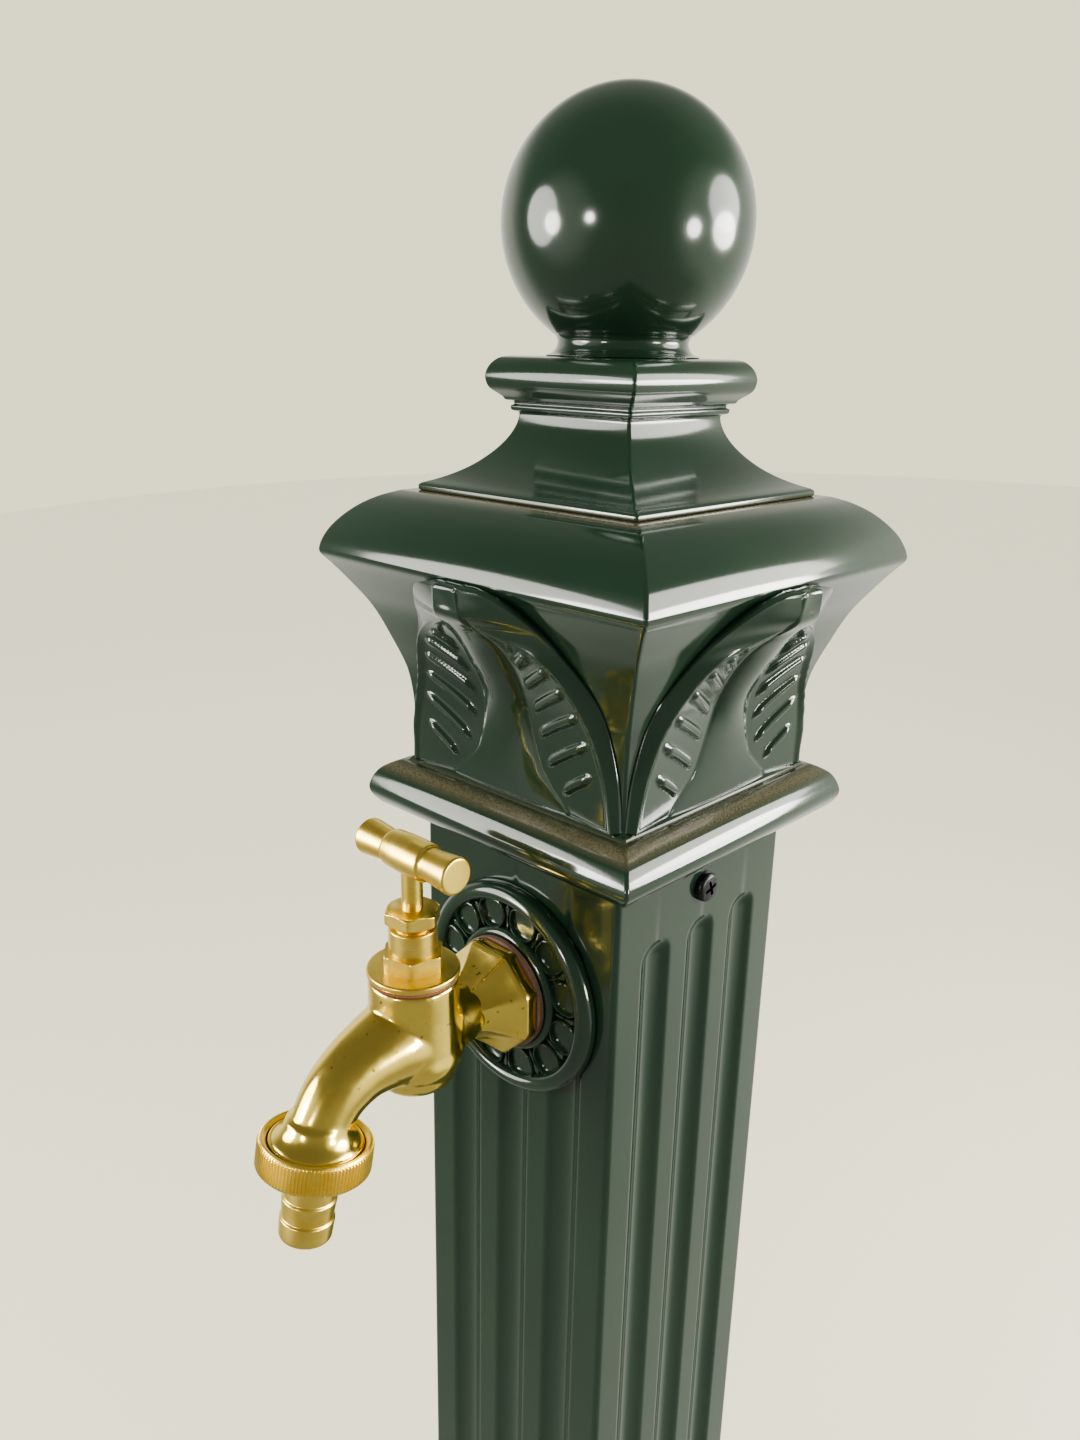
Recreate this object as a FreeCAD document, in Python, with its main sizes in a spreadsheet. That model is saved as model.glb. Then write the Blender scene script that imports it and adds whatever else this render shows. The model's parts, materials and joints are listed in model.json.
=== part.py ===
import FreeCAD, Part
import math
import os
import re
import Sketcher

# Fluted pedestal drinking fountain with a brass screw-down tap.
#
# Frame: origin on the ground under the middle of the column, +Z up. The tap points to -Y.
# Square mouldings are the common volume of one profile run along X and along Y, which gives
# mitred corners. Round pieces are turned about their own Z axis and then placed.
#

V = FreeCAD.Vector
Z_AXIS = V(0, 0, 1)
X_AXIS = V(1, 0, 0)
Y_AXIS = V(0, 1, 0)

doc = FreeCAD.newDocument("drinking_fountain")

SIZES = {
    # overall stack, from the ground up
    "base_half": 85.0,
    "base_height": 62.0,
    "slab_height": 15.0,
    "column_half": 40.0,
    "column_wall": 6.0,
    "column_corner": 1.8,
    "column_seat": 14.0,
    "column_top": 790.2,
    "capital_height": 103.1,
    "capital_half": 62.2,
    "pedestal_height": 37.7,
    "pedestal_half": 41.2,
    "ball_radius": 34.5,
    "ball_rise": 34.5,
    # clearances
    "fit_gap": 0.3,
    "run_gap": 0.05,
    # base
    "collar_half": 47.0,
    "collar_height": 13.0,
    "anchor_reach": 70.0,
    "anchor_hole": 5.5,
    # flutes
    "flute_width": 13.0,
    "flute_depth": 2.6,
    "flute_pitch": 21.7,
    "flute_margin": 19.5,
    # capital
    "spigot_depth": 25.0,
    "spigot_wall": 6.0,
    "top_plate": 13.0,
    # face screws
    "screw_drop": 9.4,
    "screw_radius": 2.5,
    "screw_head_radius": 4.6,
    "screw_head_height": 2.9,
    "screw_length": 11.0,
    # finial fixing
    "stud_radius": 4.0,
    "stud_in_ball": 20.0,
    "stud_tail": 12.0,
    "finial_nut_flats": 13.0,
    "finial_nut_height": 6.5,
    "finial_washer_radius": 12.0,
    "finial_washer_height": 2.0,
    # tap, seen from the side: its stem stands tap_reach in front of the column's axis
    "tap_height": 746.8,
    "tap_reach": 79.8,
    "shank_radius": 10.3,
    "shank_tail": 17.0,
    "inlet_bore": 5.0,
    "rosette_radius": 34.0,
    "rosette_height": 5.2,
    "wall_washer_height": 1.5,
    "wall_washer_radius": 17.6,
    "flange_flats": 33.0,
    "flange_height": 4.8,
    "cone_length": 7.0,
    "neck_radius": 7.8,
    "barrel_radius": 13.1,
    "barrel_top": 20.1,
    "barrel_bottom": 16.0,
    "chamber_radius": 9.5,
    "seat_rise": 7.8,
    "seat_radius": 4.5,
    "spout_bore": 5.0,
    # tap head
    "gasket_height": 1.0,
    "cap_disc_radius": 13.1,
    "cap_disc_height": 1.9,
    "cap_thread_radius": 10.2,
    "cap_depth": 8.0,
    "cap_recess_radius": 7.8,
    "cap_recess_depth": 4.2,
    "bonnet_flats": 15.7,
    "bonnet_hex_height": 5.0,
    "bonnet_radius": 6.7,
    "bonnet_height": 12.3,
    "packing_radius": 4.9,
    "packing_depth": 6.0,
    "packing_height": 3.6,
    "gland_flats": 14.0,
    "gland_hex_height": 3.6,
    "gland_spigot_step": 1.8,
    "stem_radius": 3.0,
    "spindle_thread_radius": 5.0,
    "spindle_thread_length": 10.0,
    "spindle_socket_depth": 6.5,
    "valve_lift": 4.0,
    "jumper_stem_radius": 2.2,
    "jumper_plate_radius": 6.9,
    "jumper_plate_height": 1.5,
    "seat_washer_height": 2.0,
    "seat_washer_radius": 6.7,
    "handle_height": 56.4,
    "handle_half": 18.3,
    "handle_radius": 5.4,
    "handle_waist": 4.4,
    "handle_middle": 7.4,
    "handle_shoulder": 0.8,
    "handle_chamfer": 0.9,
    # outlet union, along its own axis from the top of the knurled nut
    "outlet_reach": 114.2,
    "outlet_drop": 14.9,
    "outlet_tilt": 10.5,
    "thread_radius": 12.9,
    "thread_length": 3.2,
    "thread_flare": 5.5,
    "spout_end_radius": 8.3,
    "union_radius": 15.65,
    "union_height": 8.7,
    "union_lip": 2.5,
    "union_washer_height": 1.5,
    "tail_flange_radius": 12.2,
    "tail_radius": 7.6,
    "tail_bore": 5.2,
    "tail_length": 24.8,
    # supply inside the column
    "elbow_radius": 14.0,
    "elbow_socket": 24.0,
    "elbow_stop": 15.0,
    "pipe_radius": 10.48,
    "pipe_wall": 2.6,
    "inlet_height": 120.0,
    "inlet_reach": 66.0,
    "inlet_thread": 14.0,
    "inlet_groove": 3.0,
    "inlet_relief": 1.3,
    "locknut_flats": 32.0,
    "locknut_height": 7.0,
    "backing_washer_radius": 17.0,
    "backing_washer_height": 1.6,
}

sheet = doc.addObject("Spreadsheet::Sheet", "sizes")
for row, (alias, value) in enumerate(SIZES.items(), start=1):
    sheet.set("A%d" % row, alias)
    sheet.set("B%d" % row, str(value))
    sheet.setAlias("B%d" % row, alias)
doc.recompute()

QUARTER = math.sqrt(0.5)
FUNCTIONS = {"sqrt", "sin", "cos", "tan", "deg"}


def formula(text):
    """The text with each size's name pointed at its cell in the sheet."""
    def point(match):
        word = match.group(0)
        return word if word in FUNCTIONS else "sizes." + word
    return re.sub(r"[a-z][a-z_]+", point, str(text))


def value(text):
    """What a formula is worth now, as a plain number."""
    result = sheet.evalExpression(formula(text))
    return float(getattr(result, "Value", result))


def bind(item, **sizes):
    for name, text in sizes.items():
        item.setExpression(name.replace("__", "."), formula(text))
    return item


def place(item, across="0", along="0", up="0", axis=Z_AXIS, angle=0.0):
    """Turn the item about an axis through its origin, then move it by three formulas."""
    item.Placement = FreeCAD.Placement(V(0, 0, 0), FreeCAD.Rotation(axis, angle))
    item.setExpression("Placement.Base.x", formula(across))
    item.setExpression("Placement.Base.y", formula(along))
    item.setExpression("Placement.Base.z", formula(up))
    return item


# ---------------------------------------------------------------- sketches and solids


def origin_plane(body, role):
    return [plane for plane in body.Origin.OriginFeatures if plane.Role == role][0]


def outline(body, name, role, corners):
    """A closed sketch through corners (across, up, bow), anticlockwise.

    bow 0 draws a straight side to the corner. Otherwise the side is an arc, whose radius is
    the chord times the bow: bulging outwards if it is positive, hollow if it is negative.
    """
    sketch = body.newObject("Sketcher::SketchObject", name)
    sketch.AttachmentSupport = [(origin_plane(body, role), "")]
    sketch.MapMode = "FlatFace"
    points = [V(value(across), value(up), 0) for across, up, _ in corners]
    sides = []
    for index, (across, up, bow) in enumerate(corners):
        start = points[index - 1]
        end = points[index]
        if not bow:
            sides.append((sketch.addGeometry(Part.LineSegment(start, end)), 1, 2))
            continue
        chord = end - start
        radius = chord.Length * abs(bow)
        left = V(-chord.y, chord.x, 0).normalize()
        offset = math.sqrt(radius ** 2 - (chord.Length / 2) ** 2)
        centre = (start + end) * 0.5 + left * (offset if bow > 0 else -offset)
        first, last = (start, end) if bow > 0 else (end, start)
        turn_from = math.atan2(first.y - centre.y, first.x - centre.x)
        turn_to = math.atan2(last.y - centre.y, last.x - centre.x)
        arc = Part.ArcOfCircle(Part.Circle(centre, V(0, 0, 1), radius), turn_from, turn_to)
        number = sketch.addGeometry(arc)
        sides.append((number, 1, 2) if bow > 0 else (number, 2, 1))
        before = corners[index - 1]
        chord_text = "sqrt(((%s)-(%s))^2+((%s)-(%s))^2)" % (across, before[0], up, before[1])
        number = sketch.addConstraint(Sketcher.Constraint("Radius", number, radius))
        sketch.setExpression("Constraints[%d]" % number, formula("%s*%.12f" % (chord_text, abs(bow))))
    for index, (side, start_end, far_end) in enumerate(sides):
        following, near_end, _ = sides[(index + 1) % len(sides)]
        sketch.addConstraint(Sketcher.Constraint("Coincident", side, far_end, following, near_end))
        across, up, _ = corners[index]
        for kind, text in (("DistanceX", across), ("DistanceY", up)):
            rule = Sketcher.Constraint(kind, -1, 1, side, far_end, value(text))
            number = sketch.addConstraint(rule)
            sketch.setExpression("Constraints[%d]" % number, formula(text))
    return sketch


def turned(label, corners):
    """A piece turned about its own Z axis, from the outline of its right half."""
    body = doc.addObject("PartDesign::Body", label)
    sketch = outline(body, label + "_outline", "XZ_Plane", corners)
    turn = body.newObject("PartDesign::Revolution", label + "_turn")
    turn.Profile = sketch
    turn.ReferenceAxis = (sketch, ["V_Axis"])
    turn.Angle = 360.0
    doc.recompute()
    return body


def strip(label, role, mirror_role, corners, length):
    """The moulding's outline run one way across the square, both halves of it."""
    body = doc.addObject("PartDesign::Body", label)
    sketch = outline(body, label + "_outline", role, corners)
    pad = body.newObject("PartDesign::Pad", label + "_pad")
    pad.Profile = sketch
    pad.SideType = "Symmetric"
    pad.setExpression("Length", formula("2*(%s)" % length))
    doc.recompute()
    mirrored = body.newObject("PartDesign::Mirrored", label + "_mirror")
    mirrored.Originals = [pad]
    mirrored.MirrorPlane = (origin_plane(body, mirror_role), [""])
    body.Tip = mirrored
    doc.recompute()
    return body


def moulded(label, corners, half):
    """A square piece whose four sides carry the same moulding, mitred at the corners."""
    strips = [
        strip(label + "_across", "XZ_Plane", "YZ_Plane", corners, half),
        strip(label + "_along", "YZ_Plane", "XZ_Plane", corners, half),
    ]
    both = doc.addObject("Part::MultiCommon", label)
    both.Shapes = strips
    both.Refine = True
    return both


def cylinder(radius, height, **where):
    return place(bind(doc.addObject("Part::Cylinder", "round"), Radius=radius, Height=height), **where)


def cone(foot, top, height, **where):
    return place(bind(doc.addObject("Part::Cone", "cone"), Radius1=foot, Radius2=top, Height=height),
                 **where)


def sphere(radius, **where):
    return place(bind(doc.addObject("Part::Sphere", "ball"), Radius=radius), **where)


def block(width, depth, height, across="0", along="0", up="0"):
    """A box centred on (across, along), standing on up."""
    box = bind(doc.addObject("Part::Box", "block"), Length=width, Width=depth, Height=height)
    return place(box, across="(%s)-(%s)/2" % (across, width), along="(%s)-(%s)/2" % (along, depth), up=up)


def prism(sides, flats, height, spin=0.0, **where):
    """A regular prism by the distance across its flats, a flat facing -Y when spin is 0."""
    item = doc.addObject("Part::Prism", "prism")
    item.Polygon = sides
    bind(item, Circumradius="(%s)/2/%.12f" % (flats, math.cos(math.pi / sides)), Height=height)
    place(item, **where)
    own_turn = FreeCAD.Rotation(Z_AXIS, spin + 90.0 + 180.0 / sides)
    turn = item.Placement.Rotation.multiply(own_turn)
    item.setExpression("Placement.Rotation", None)
    item.Placement = FreeCAD.Placement(item.Placement.Base, turn)
    return item


def fuse(label, *items):
    joined = doc.addObject("Part::MultiFuse", label)
    joined.Shapes = list(items)
    joined.Refine = True
    return joined


def cut(label, base, *tools):
    """The base less its tools; several tools go in as one."""
    item = doc.addObject("Part::Cut", label)
    item.Base = base
    item.Tool = tools[0] if len(tools) == 1 else fuse(label + "_tools", *tools)
    item.Refine = True
    return item


# ---------------------------------------------------------------- pedestal castings


def base_plinth():
    """Foot slab with a bead and a hollow rising to the collar that holds the column."""
    corners = [
        ("0", "0", 0),
        ("base_half", "0", 0),
        ("base_half", "slab_height-4", 0),
        ("base_half-4", "slab_height", QUARTER),
        ("collar_half+11", "slab_height", 0),
        ("collar_half+13", "slab_height+2", 0.8),
        ("collar_half+13", "slab_height+7", 0.52),
        ("collar_half+10", "slab_height+9", 0),
        ("collar_half+9", "slab_height+9", 0),
        ("collar_half+1", "base_height-collar_height-2", -0.82),
        ("collar_half", "base_height-collar_height", 0),
        ("collar_half", "base_height-3", 0),
        ("collar_half-3", "base_height", QUARTER),
        ("0", "base_height", 0),
    ]
    shell = moulded("plinth_form", corners, "base_half")
    socket = "2*(column_half+fit_gap)"
    well = "2*(column_half-column_wall)"
    tools = [
        block(socket, socket, "base_height", up="column_seat"),
        block(well, well, "column_seat+1", up="0-1"),
    ]
    for side_x in (-1, 1):
        for side_y in (-1, 1):
            tools.append(cylinder("anchor_hole", "slab_height+2", across="%d*anchor_reach" % side_x,
                                  along="%d*anchor_reach" % side_y, up="0-1"))
        tools.append(cylinder("screw_radius+fit_gap", "collar_half", up="base_height-collar_height/2",
                              axis=Y_AXIS, angle=90.0 * side_x))
    return cut("base_plinth", shell, *tools)


def flute_cutter(across, along, foot, top):
    """A round bar with ball ends that leaves one flute of the named width and depth."""
    bar = "((flute_width/2)^2+flute_depth^2)/2/flute_depth"
    return fuse(
        "flute",
        cylinder(bar, "(%s)-(%s)" % (top, foot), across=across, along=along, up=foot),
        sphere(bar, across=across, along=along, up=foot),
        sphere(bar, across=across, along=along, up=top),
    )


def column():
    """Square tube with three flutes in each face, stopping short of both ends."""
    tube = block("2*column_half", "2*column_half", "column_top-column_seat", up="column_seat")
    doc.recompute()
    rounded = doc.addObject("Part::Fillet", "column_rounded")
    rounded.Base = tube
    corner = value("column_corner")
    upright = [number for number, edge in enumerate(tube.Shape.Edges, start=1)
               if abs(edge.tangentAt(edge.FirstParameter).z) > 0.9]
    rounded.Edges = [(number, corner, corner) for number in upright]
    inside = "2*(column_half-column_wall)"
    bar_out = "column_half-flute_depth+((flute_width/2)^2+flute_depth^2)/2/flute_depth"
    foot = "base_height+flute_margin+flute_width/2"
    top = "column_top-flute_margin-flute_width/2"
    tools = [block(inside, inside, "column_top", up="0")]
    for lane in (-1, 0, 1):
        for side in (-1, 1):
            tools.append(flute_cutter("%d*flute_pitch" % lane, "%d*(%s)" % (side, bar_out), foot, top))
            tools.append(flute_cutter("%d*(%s)" % (side, bar_out), "%d*flute_pitch" % lane, foot, top))
    for side in (-1, 1):
        for up in ("column_top-screw_drop", "base_height-collar_height/2"):
            tools.append(cylinder("screw_radius+fit_gap", "column_half+1", up=up,
                                  axis=Y_AXIS, angle=90.0 * side))
    tools.append(cylinder("shank_radius+fit_gap", "column_half+1", up="tap_height",
                          axis=X_AXIS, angle=90.0))
    tools.append(cylinder("pipe_radius+fit_gap", "column_half+1", up="inlet_height",
                          axis=X_AXIS, angle=-90.0))
    return cut("column", rounded, *tools)


def capital():
    """Cast head of the column: ring, long hollow, hood, and a spigot inside the column."""
    corners = [
        ("0", "0", 0),
        ("column_half+3.05", "0", 0),
        ("column_half+11.2", "6", 0),
        ("column_half+13.2", "10.3", 2.0),
        ("column_half+10.6", "16.4", 1.55),
        ("column_half+5.9", "19.5", 2.5),
        ("column_half+4.1", "19.5", 0),
        ("column_half+2.7", "21.8", 0),
        ("column_half+2.4", "25.8", 0),
        ("column_half+4.3", "49.8", -4.4),
        ("capital_half-13", "64", -4.8),
        ("capital_half-4.6", "78.6", -5.7),
        ("capital_half-0.3", "capital_height-19", -9.0),
        ("capital_half", "capital_height-17.8", 0),
        ("capital_half-6.1", "capital_height-5.8", 1.55),
        ("capital_half-17.5", "capital_height", 1.59),
        ("0", "capital_height", 0),
    ]
    form = moulded("capital_form", corners, "capital_half")
    spigot_side = "2*(column_half-column_wall-fit_gap)"
    hollow_side = "2*(column_half-column_wall-fit_gap-spigot_wall)"
    spigot = block(spigot_side, spigot_side, "spigot_depth+1", up="0-spigot_depth")
    tools = [
        block(hollow_side, hollow_side, "capital_height-top_plate+spigot_depth+1", up="0-spigot_depth-1"),
        cylinder("stud_radius+fit_gap", "capital_height"),
    ]
    for side in (-1, 1):
        tools.append(cylinder("screw_radius+fit_gap", "column_half", up="0-screw_drop",
                              axis=Y_AXIS, angle=90.0 * side))
    return place(cut("capital", fuse("capital_casting", form, spigot), *tools), up="column_top")


def cap_pedestal():
    """Square pedestal under the ball: a spreading foot, a bullnose and a flat top."""
    corners = [
        ("0", "0", 0),
        ("pedestal_half", "0", 0),
        ("pedestal_half", "1.7", 0),
        ("pedestal_half-7.8", "5.3", -3.0),
        ("pedestal_half-18.8", "15.9", -3.0),
        ("pedestal_half-20.6", "21.3", -1.62),
        ("pedestal_half-19.6", "22.7", 0),
        ("pedestal_half-18.9", "23.7", 0),
        ("pedestal_half-18.9", "25.9", 0),
        ("pedestal_half-18.1", "26.7", 0),
        ("pedestal_half-15.3", "28", 0.9),
        ("pedestal_half-13.6", "32.2", 1.1),
        ("pedestal_half-18.8", "pedestal_height", 0.92),
        ("0", "pedestal_height", 0),
    ]
    form = moulded("pedestal_form", corners, "pedestal_half")
    bore = cylinder("stud_radius+fit_gap", "pedestal_height+2", up="0-1")
    return place(cut("cap_pedestal", form, bore), up="column_top+capital_height")


def finial_ball():
    """Ball on a short flared neck, drilled from below for its stud."""
    neck = turned("neck", [
        ("0", "0", 0),
        ("21.8", "0", 0),
        ("18.4", "3.3", -0.8),
        ("ball_radius*0.571", "ball_rise-ball_radius*0.82", -0.75),
        ("0", "ball_rise-ball_radius*0.82", 0),
    ])
    solid = fuse("ball_and_neck", sphere("ball_radius", up="ball_rise"), neck)
    bore = cylinder("stud_radius+fit_gap", "stud_in_ball+2", up="0-1")
    return place(cut("finial_ball", solid, bore), up="column_top+capital_height+pedestal_height")


def finial_stud():
    height = "pedestal_height+top_plate+stud_in_ball+stud_tail"
    rod = cylinder("stud_radius", height, up="column_top+capital_height-top_plate-stud_tail")
    rod.Label = "finial_stud"
    return rod


def finial_washer():
    plate = cylinder("finial_washer_radius", "finial_washer_height")
    ring = cut("finial_washer", plate, cylinder("stud_radius+fit_gap", "finial_washer_height+2", up="0-1"))
    return place(ring, up="column_top+capital_height-top_plate-finial_washer_height")


def finial_nut():
    plate = prism(6, "finial_nut_flats", "finial_nut_height")
    ring = cut("finial_nut", plate, cylinder("stud_radius+fit_gap", "finial_nut_height+2", up="0-1"))
    seat = "column_top+capital_height-top_plate-finial_washer_height-finial_nut_height"
    return place(ring, up=seat)


def face_screw(side, face, up):
    """One pan-head screw with a cross recess, its head bearing on the named face."""
    corners = [
        ("0", "0-screw_length", 0),
        ("screw_radius-0.8", "0-screw_length", 0),
        ("screw_radius", "1.2-screw_length", 0),
        ("screw_radius", "0", 0),
        ("screw_head_radius", "0", 0),
        ("screw_head_radius", "screw_head_height*0.45", 0),
        ("screw_head_radius*0.72", "screw_head_height*0.9", 0.8),
        ("0", "screw_head_height", 2.0),
    ]
    blank = turned("screw_blank", corners)
    slot = "screw_head_radius*0.24"
    arm = "screw_head_radius*1.05"
    recess = fuse("recess", block(slot, arm, "screw_head_height", up="screw_head_height*0.4"),
                  block(arm, slot, "screw_head_height", up="screw_head_height*0.4"))
    screw = cut("screw", blank, recess)
    return place(screw, across="%d*(%s)" % (side, face), up=up, axis=Y_AXIS, angle=90.0 * side)


def face_screws():
    """Two screws hold the capital to the column, and two more hold the column in its base."""
    screws = []
    for side in (-1, 1):
        screws.append(face_screw(side, "column_half", "column_top-screw_drop"))
        screws.append(face_screw(side, "collar_half", "base_height-collar_height/2"))
    group = doc.addObject("Part::Compound", "face_screws")
    group.Links = screws
    return group


# ---------------------------------------------------------------- tap body and its fixing


def rosette():
    """Dished round plate behind the tap: outer bead, hollow band, inner ring."""
    hole = "shank_radius+fit_gap"
    corners = [
        (hole, "0", 0),
        ("rosette_radius-1", "0", 0),
        ("rosette_radius", "1.6", 0.75),
        ("rosette_radius-3", "rosette_height", 0.72),
        ("rosette_radius-6", "rosette_height-2.4", 0.8),
        ("20.4", "rosette_height-2.4", 0),
        ("19.2", "rosette_height-0.9", 0.8),
        ("17.8", "rosette_height", 0.8),
        (hole, "rosette_height", 0),
    ]
    return place(turned("rosette", corners), along="0-column_half", up="tap_height",
                 axis=X_AXIS, angle=90.0)


def flat_ring(label, outer, inner, height, **where):
    plate = cylinder(outer, height)
    ring = cut(label, plate, cylinder(inner, "(%s)+2" % height, up="0-1"))
    return place(ring, **where)


def wall_washer():
    return flat_ring("wall_washer", "wall_washer_radius", "shank_radius+fit_gap", "wall_washer_height",
                     along="0-column_half-rosette_height", up="tap_height", axis=X_AXIS, angle=90.0)


FLANGE_BACK = "0-column_half-rosette_height-wall_washer_height"


def spout_stations():
    """Places down the spout: distance in front of the stem, height over the tap's axis, radius."""
    return [
        ("0-tap_reach-4", "tap_height+1.5", "13"),
        ("0-tap_reach-13", "tap_height+1.6", "11.6"),
        ("0-tap_reach-21", "tap_height-0.4", "9.8"),
        ("0-tap_reach-27.4", "tap_height-4.3", "9.0"),
        ("0-outlet_reach+2.4", "tap_height-outlet_drop+5.6", "8.6"),
        ("0-outlet_reach+0.2", "tap_height-outlet_drop+0.4", "spout_end_radius"),
    ]


SPOUT_LEANS = (78.0, 85.0, 62.0, 44.0, 27.0, 10.5)
BORE_LEANS = (60.0, 62.0, 60.0, 44.0, 27.0, 10.5)


def pipe_loft(label, stations, leans):
    """A round solid through circles at the stations, each leaning its angle from straight down."""
    rings = []
    for (along, up, radius), lean in zip(stations, leans):
        ring = bind(doc.addObject("Part::Circle", "station"), Radius=radius)
        rings.append(place(ring, along=along, up=up, axis=X_AXIS, angle=-lean))
    loft = doc.addObject("Part::Loft", label)
    loft.Sections = rings
    loft.Solid = True
    return loft


def outlet_place(item, distance):
    """Put an item on the outlet's axis, its own +Z pointing back up the spout."""
    reach = "outlet_reach+(%s)*sin(outlet_tilt*1deg)" % distance
    drop = "outlet_drop+(%s)*cos(outlet_tilt*1deg)" % distance
    place(item, along="0-(%s)" % reach, up="tap_height-(%s)" % drop, axis=X_AXIS, angle=0.0)
    turn = FreeCAD.Rotation(X_AXIS, -value("outlet_tilt"))
    item.Placement = FreeCAD.Placement(item.Placement.Base, turn)
    return item


def waterway():
    """The cast passage from over the valve's seat to the mouth of the spout."""
    stations = [
        ("0-tap_reach-6", "tap_height+10.6", "spout_bore"),
        ("0-tap_reach-13", "tap_height+5.5", "spout_bore"),
        ("0-tap_reach-20.5", "tap_height+0.6", "spout_bore"),
        ("0-tap_reach-27", "tap_height-4.3", "spout_bore"),
        ("0-outlet_reach+2.4", "tap_height-outlet_drop+5.6", "spout_bore"),
        ("0-outlet_reach-0.8", "tap_height-outlet_drop-4.5", "spout_bore"),
    ]
    return pipe_loft("waterway", stations, BORE_LEANS)


def tap_body():
    """Brass casting: threaded shank, eight-sided flange, neck, valve chamber, spout and mouth."""
    belly = sphere("barrel_radius+0.2", along="0-tap_reach",
                   up="tap_height+barrel_radius+0.2-barrel_bottom")
    barrel = cylinder("barrel_radius-0.2", "barrel_top+2", along="0-tap_reach", up="tap_height-2")
    shank_length = "column_half+rosette_height+wall_washer_height-shank_tail"
    shank = cylinder("shank_radius", shank_length, along="0-shank_tail", up="tap_height",
                     axis=X_AXIS, angle=90.0)
    flange = prism(8, "flange_flats", "flange_height", along=FLANGE_BACK, up="tap_height",
                   axis=X_AXIS, angle=90.0)
    cone_back = FLANGE_BACK + "-flange_height"
    shoulder = cone("flange_flats/2-0.6", "neck_radius-0.4", "cone_length", along=cone_back, up="tap_height",
                    axis=X_AXIS, angle=90.0)
    neck = cylinder("neck_radius", "tap_reach-column_half-rosette_height-wall_washer_height",
                    along=FLANGE_BACK, up="tap_height", axis=X_AXIS, angle=90.0)
    spout = pipe_loft("spout", spout_stations(), SPOUT_LEANS)
    mouth = turned("mouth", [
        ("0", "0-thread_length", 0),
        ("thread_radius", "0-thread_length", 0),
        ("thread_radius", "0.4", 0),
        ("thread_radius-1", "0.9", 0),
        ("spout_end_radius-0.9", "thread_flare", -0.75),
        ("0", "thread_flare", 0),
    ])
    outlet_place(mouth, "0")
    solid = fuse("tap_casting", belly, barrel, shank, flange, shoulder, neck, spout, mouth)
    tools = [
        cylinder("inlet_bore", "tap_reach+seat_radius-shank_tail+2", along="1-shank_tail", up="tap_height",
                 axis=X_AXIS, angle=90.0),
        cylinder("seat_radius", "seat_rise+1", along="0-tap_reach", up="tap_height"),
        cylinder("chamber_radius", "barrel_top", along="0-tap_reach", up="tap_height+seat_rise"),
        cylinder("cap_thread_radius+fit_gap", "barrel_top", along="0-tap_reach",
                 up="tap_height+barrel_top-cap_depth-0.5"),
        waterway(),
    ]
    return cut("tap_body", solid, *tools)


def backing_washer():
    return flat_ring("backing_washer", "backing_washer_radius", "shank_radius+fit_gap",
                     "backing_washer_height", along="column_wall-column_half+backing_washer_height",
                     up="tap_height", axis=X_AXIS, angle=90.0)


def tap_locknut():
    plate = prism(6, "locknut_flats", "locknut_height")
    ring = cut("tap_locknut", plate, cylinder("shank_radius+fit_gap", "locknut_height+2", up="0-1"))
    return place(ring, along="column_wall-column_half+backing_washer_height+locknut_height",
                 up="tap_height", axis=X_AXIS, angle=90.0)


# ---------------------------------------------------------------- tap head and valve

CAP_SEAT = "tap_height+barrel_top+gasket_height"
SEAT_FACE = "tap_height+seat_rise"


def bonnet_gasket():
    return flat_ring("bonnet_gasket", "barrel_radius-0.5", "cap_thread_radius+fit_gap", "gasket_height",
                     along="0-tap_reach", up="tap_height+barrel_top")


def bonnet():
    """Screwed cap of the valve: thread below, disc, hexagon, and a neck with the packing box."""
    neck_top = "cap_disc_height+bonnet_height"
    stem_bore = "stem_radius+run_gap"
    thread_bore = "spindle_thread_radius+fit_gap"
    turned_part = turned("bonnet_turning", [
        ("cap_recess_radius", "0-gasket_height-cap_depth", 0),
        ("cap_thread_radius", "0-gasket_height-cap_depth", 0),
        ("cap_thread_radius", "0", 0),
        ("cap_disc_radius", "0", 0),
        ("cap_disc_radius", "cap_disc_height-0.6", 0),
        ("cap_disc_radius-0.6", "cap_disc_height", QUARTER),
        ("bonnet_radius", "cap_disc_height", 0),
        ("bonnet_radius", neck_top + "-0.4", 0),
        ("bonnet_radius-0.4", neck_top, 0),
        ("packing_radius", neck_top, 0),
        ("packing_radius", neck_top + "-packing_depth", 0),
        (stem_bore, neck_top + "-packing_depth", 0),
        (stem_bore, "5.2", 0),
        (thread_bore, "5.2", 0),
        (thread_bore, "cap_recess_depth-gasket_height-cap_depth", 0),
        ("cap_recess_radius", "cap_recess_depth-gasket_height-cap_depth", 0),
    ])
    hexagon = prism(6, "bonnet_flats", "bonnet_hex_height", spin=16.0, up="cap_disc_height")
    ring = cut("bonnet_hexagon", hexagon, cylinder("bonnet_radius-0.5", "bonnet_hex_height+2",
                                                   up="cap_disc_height-1"))
    return place(fuse("bonnet", turned_part, ring), along="0-tap_reach", up=CAP_SEAT)


def gland_packing():
    seat = CAP_SEAT + "+cap_disc_height+bonnet_height-packing_depth"
    return flat_ring("gland_packing", "packing_radius-run_gap", "stem_radius+run_gap", "packing_height",
                     along="0-tap_reach", up=seat)


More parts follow.
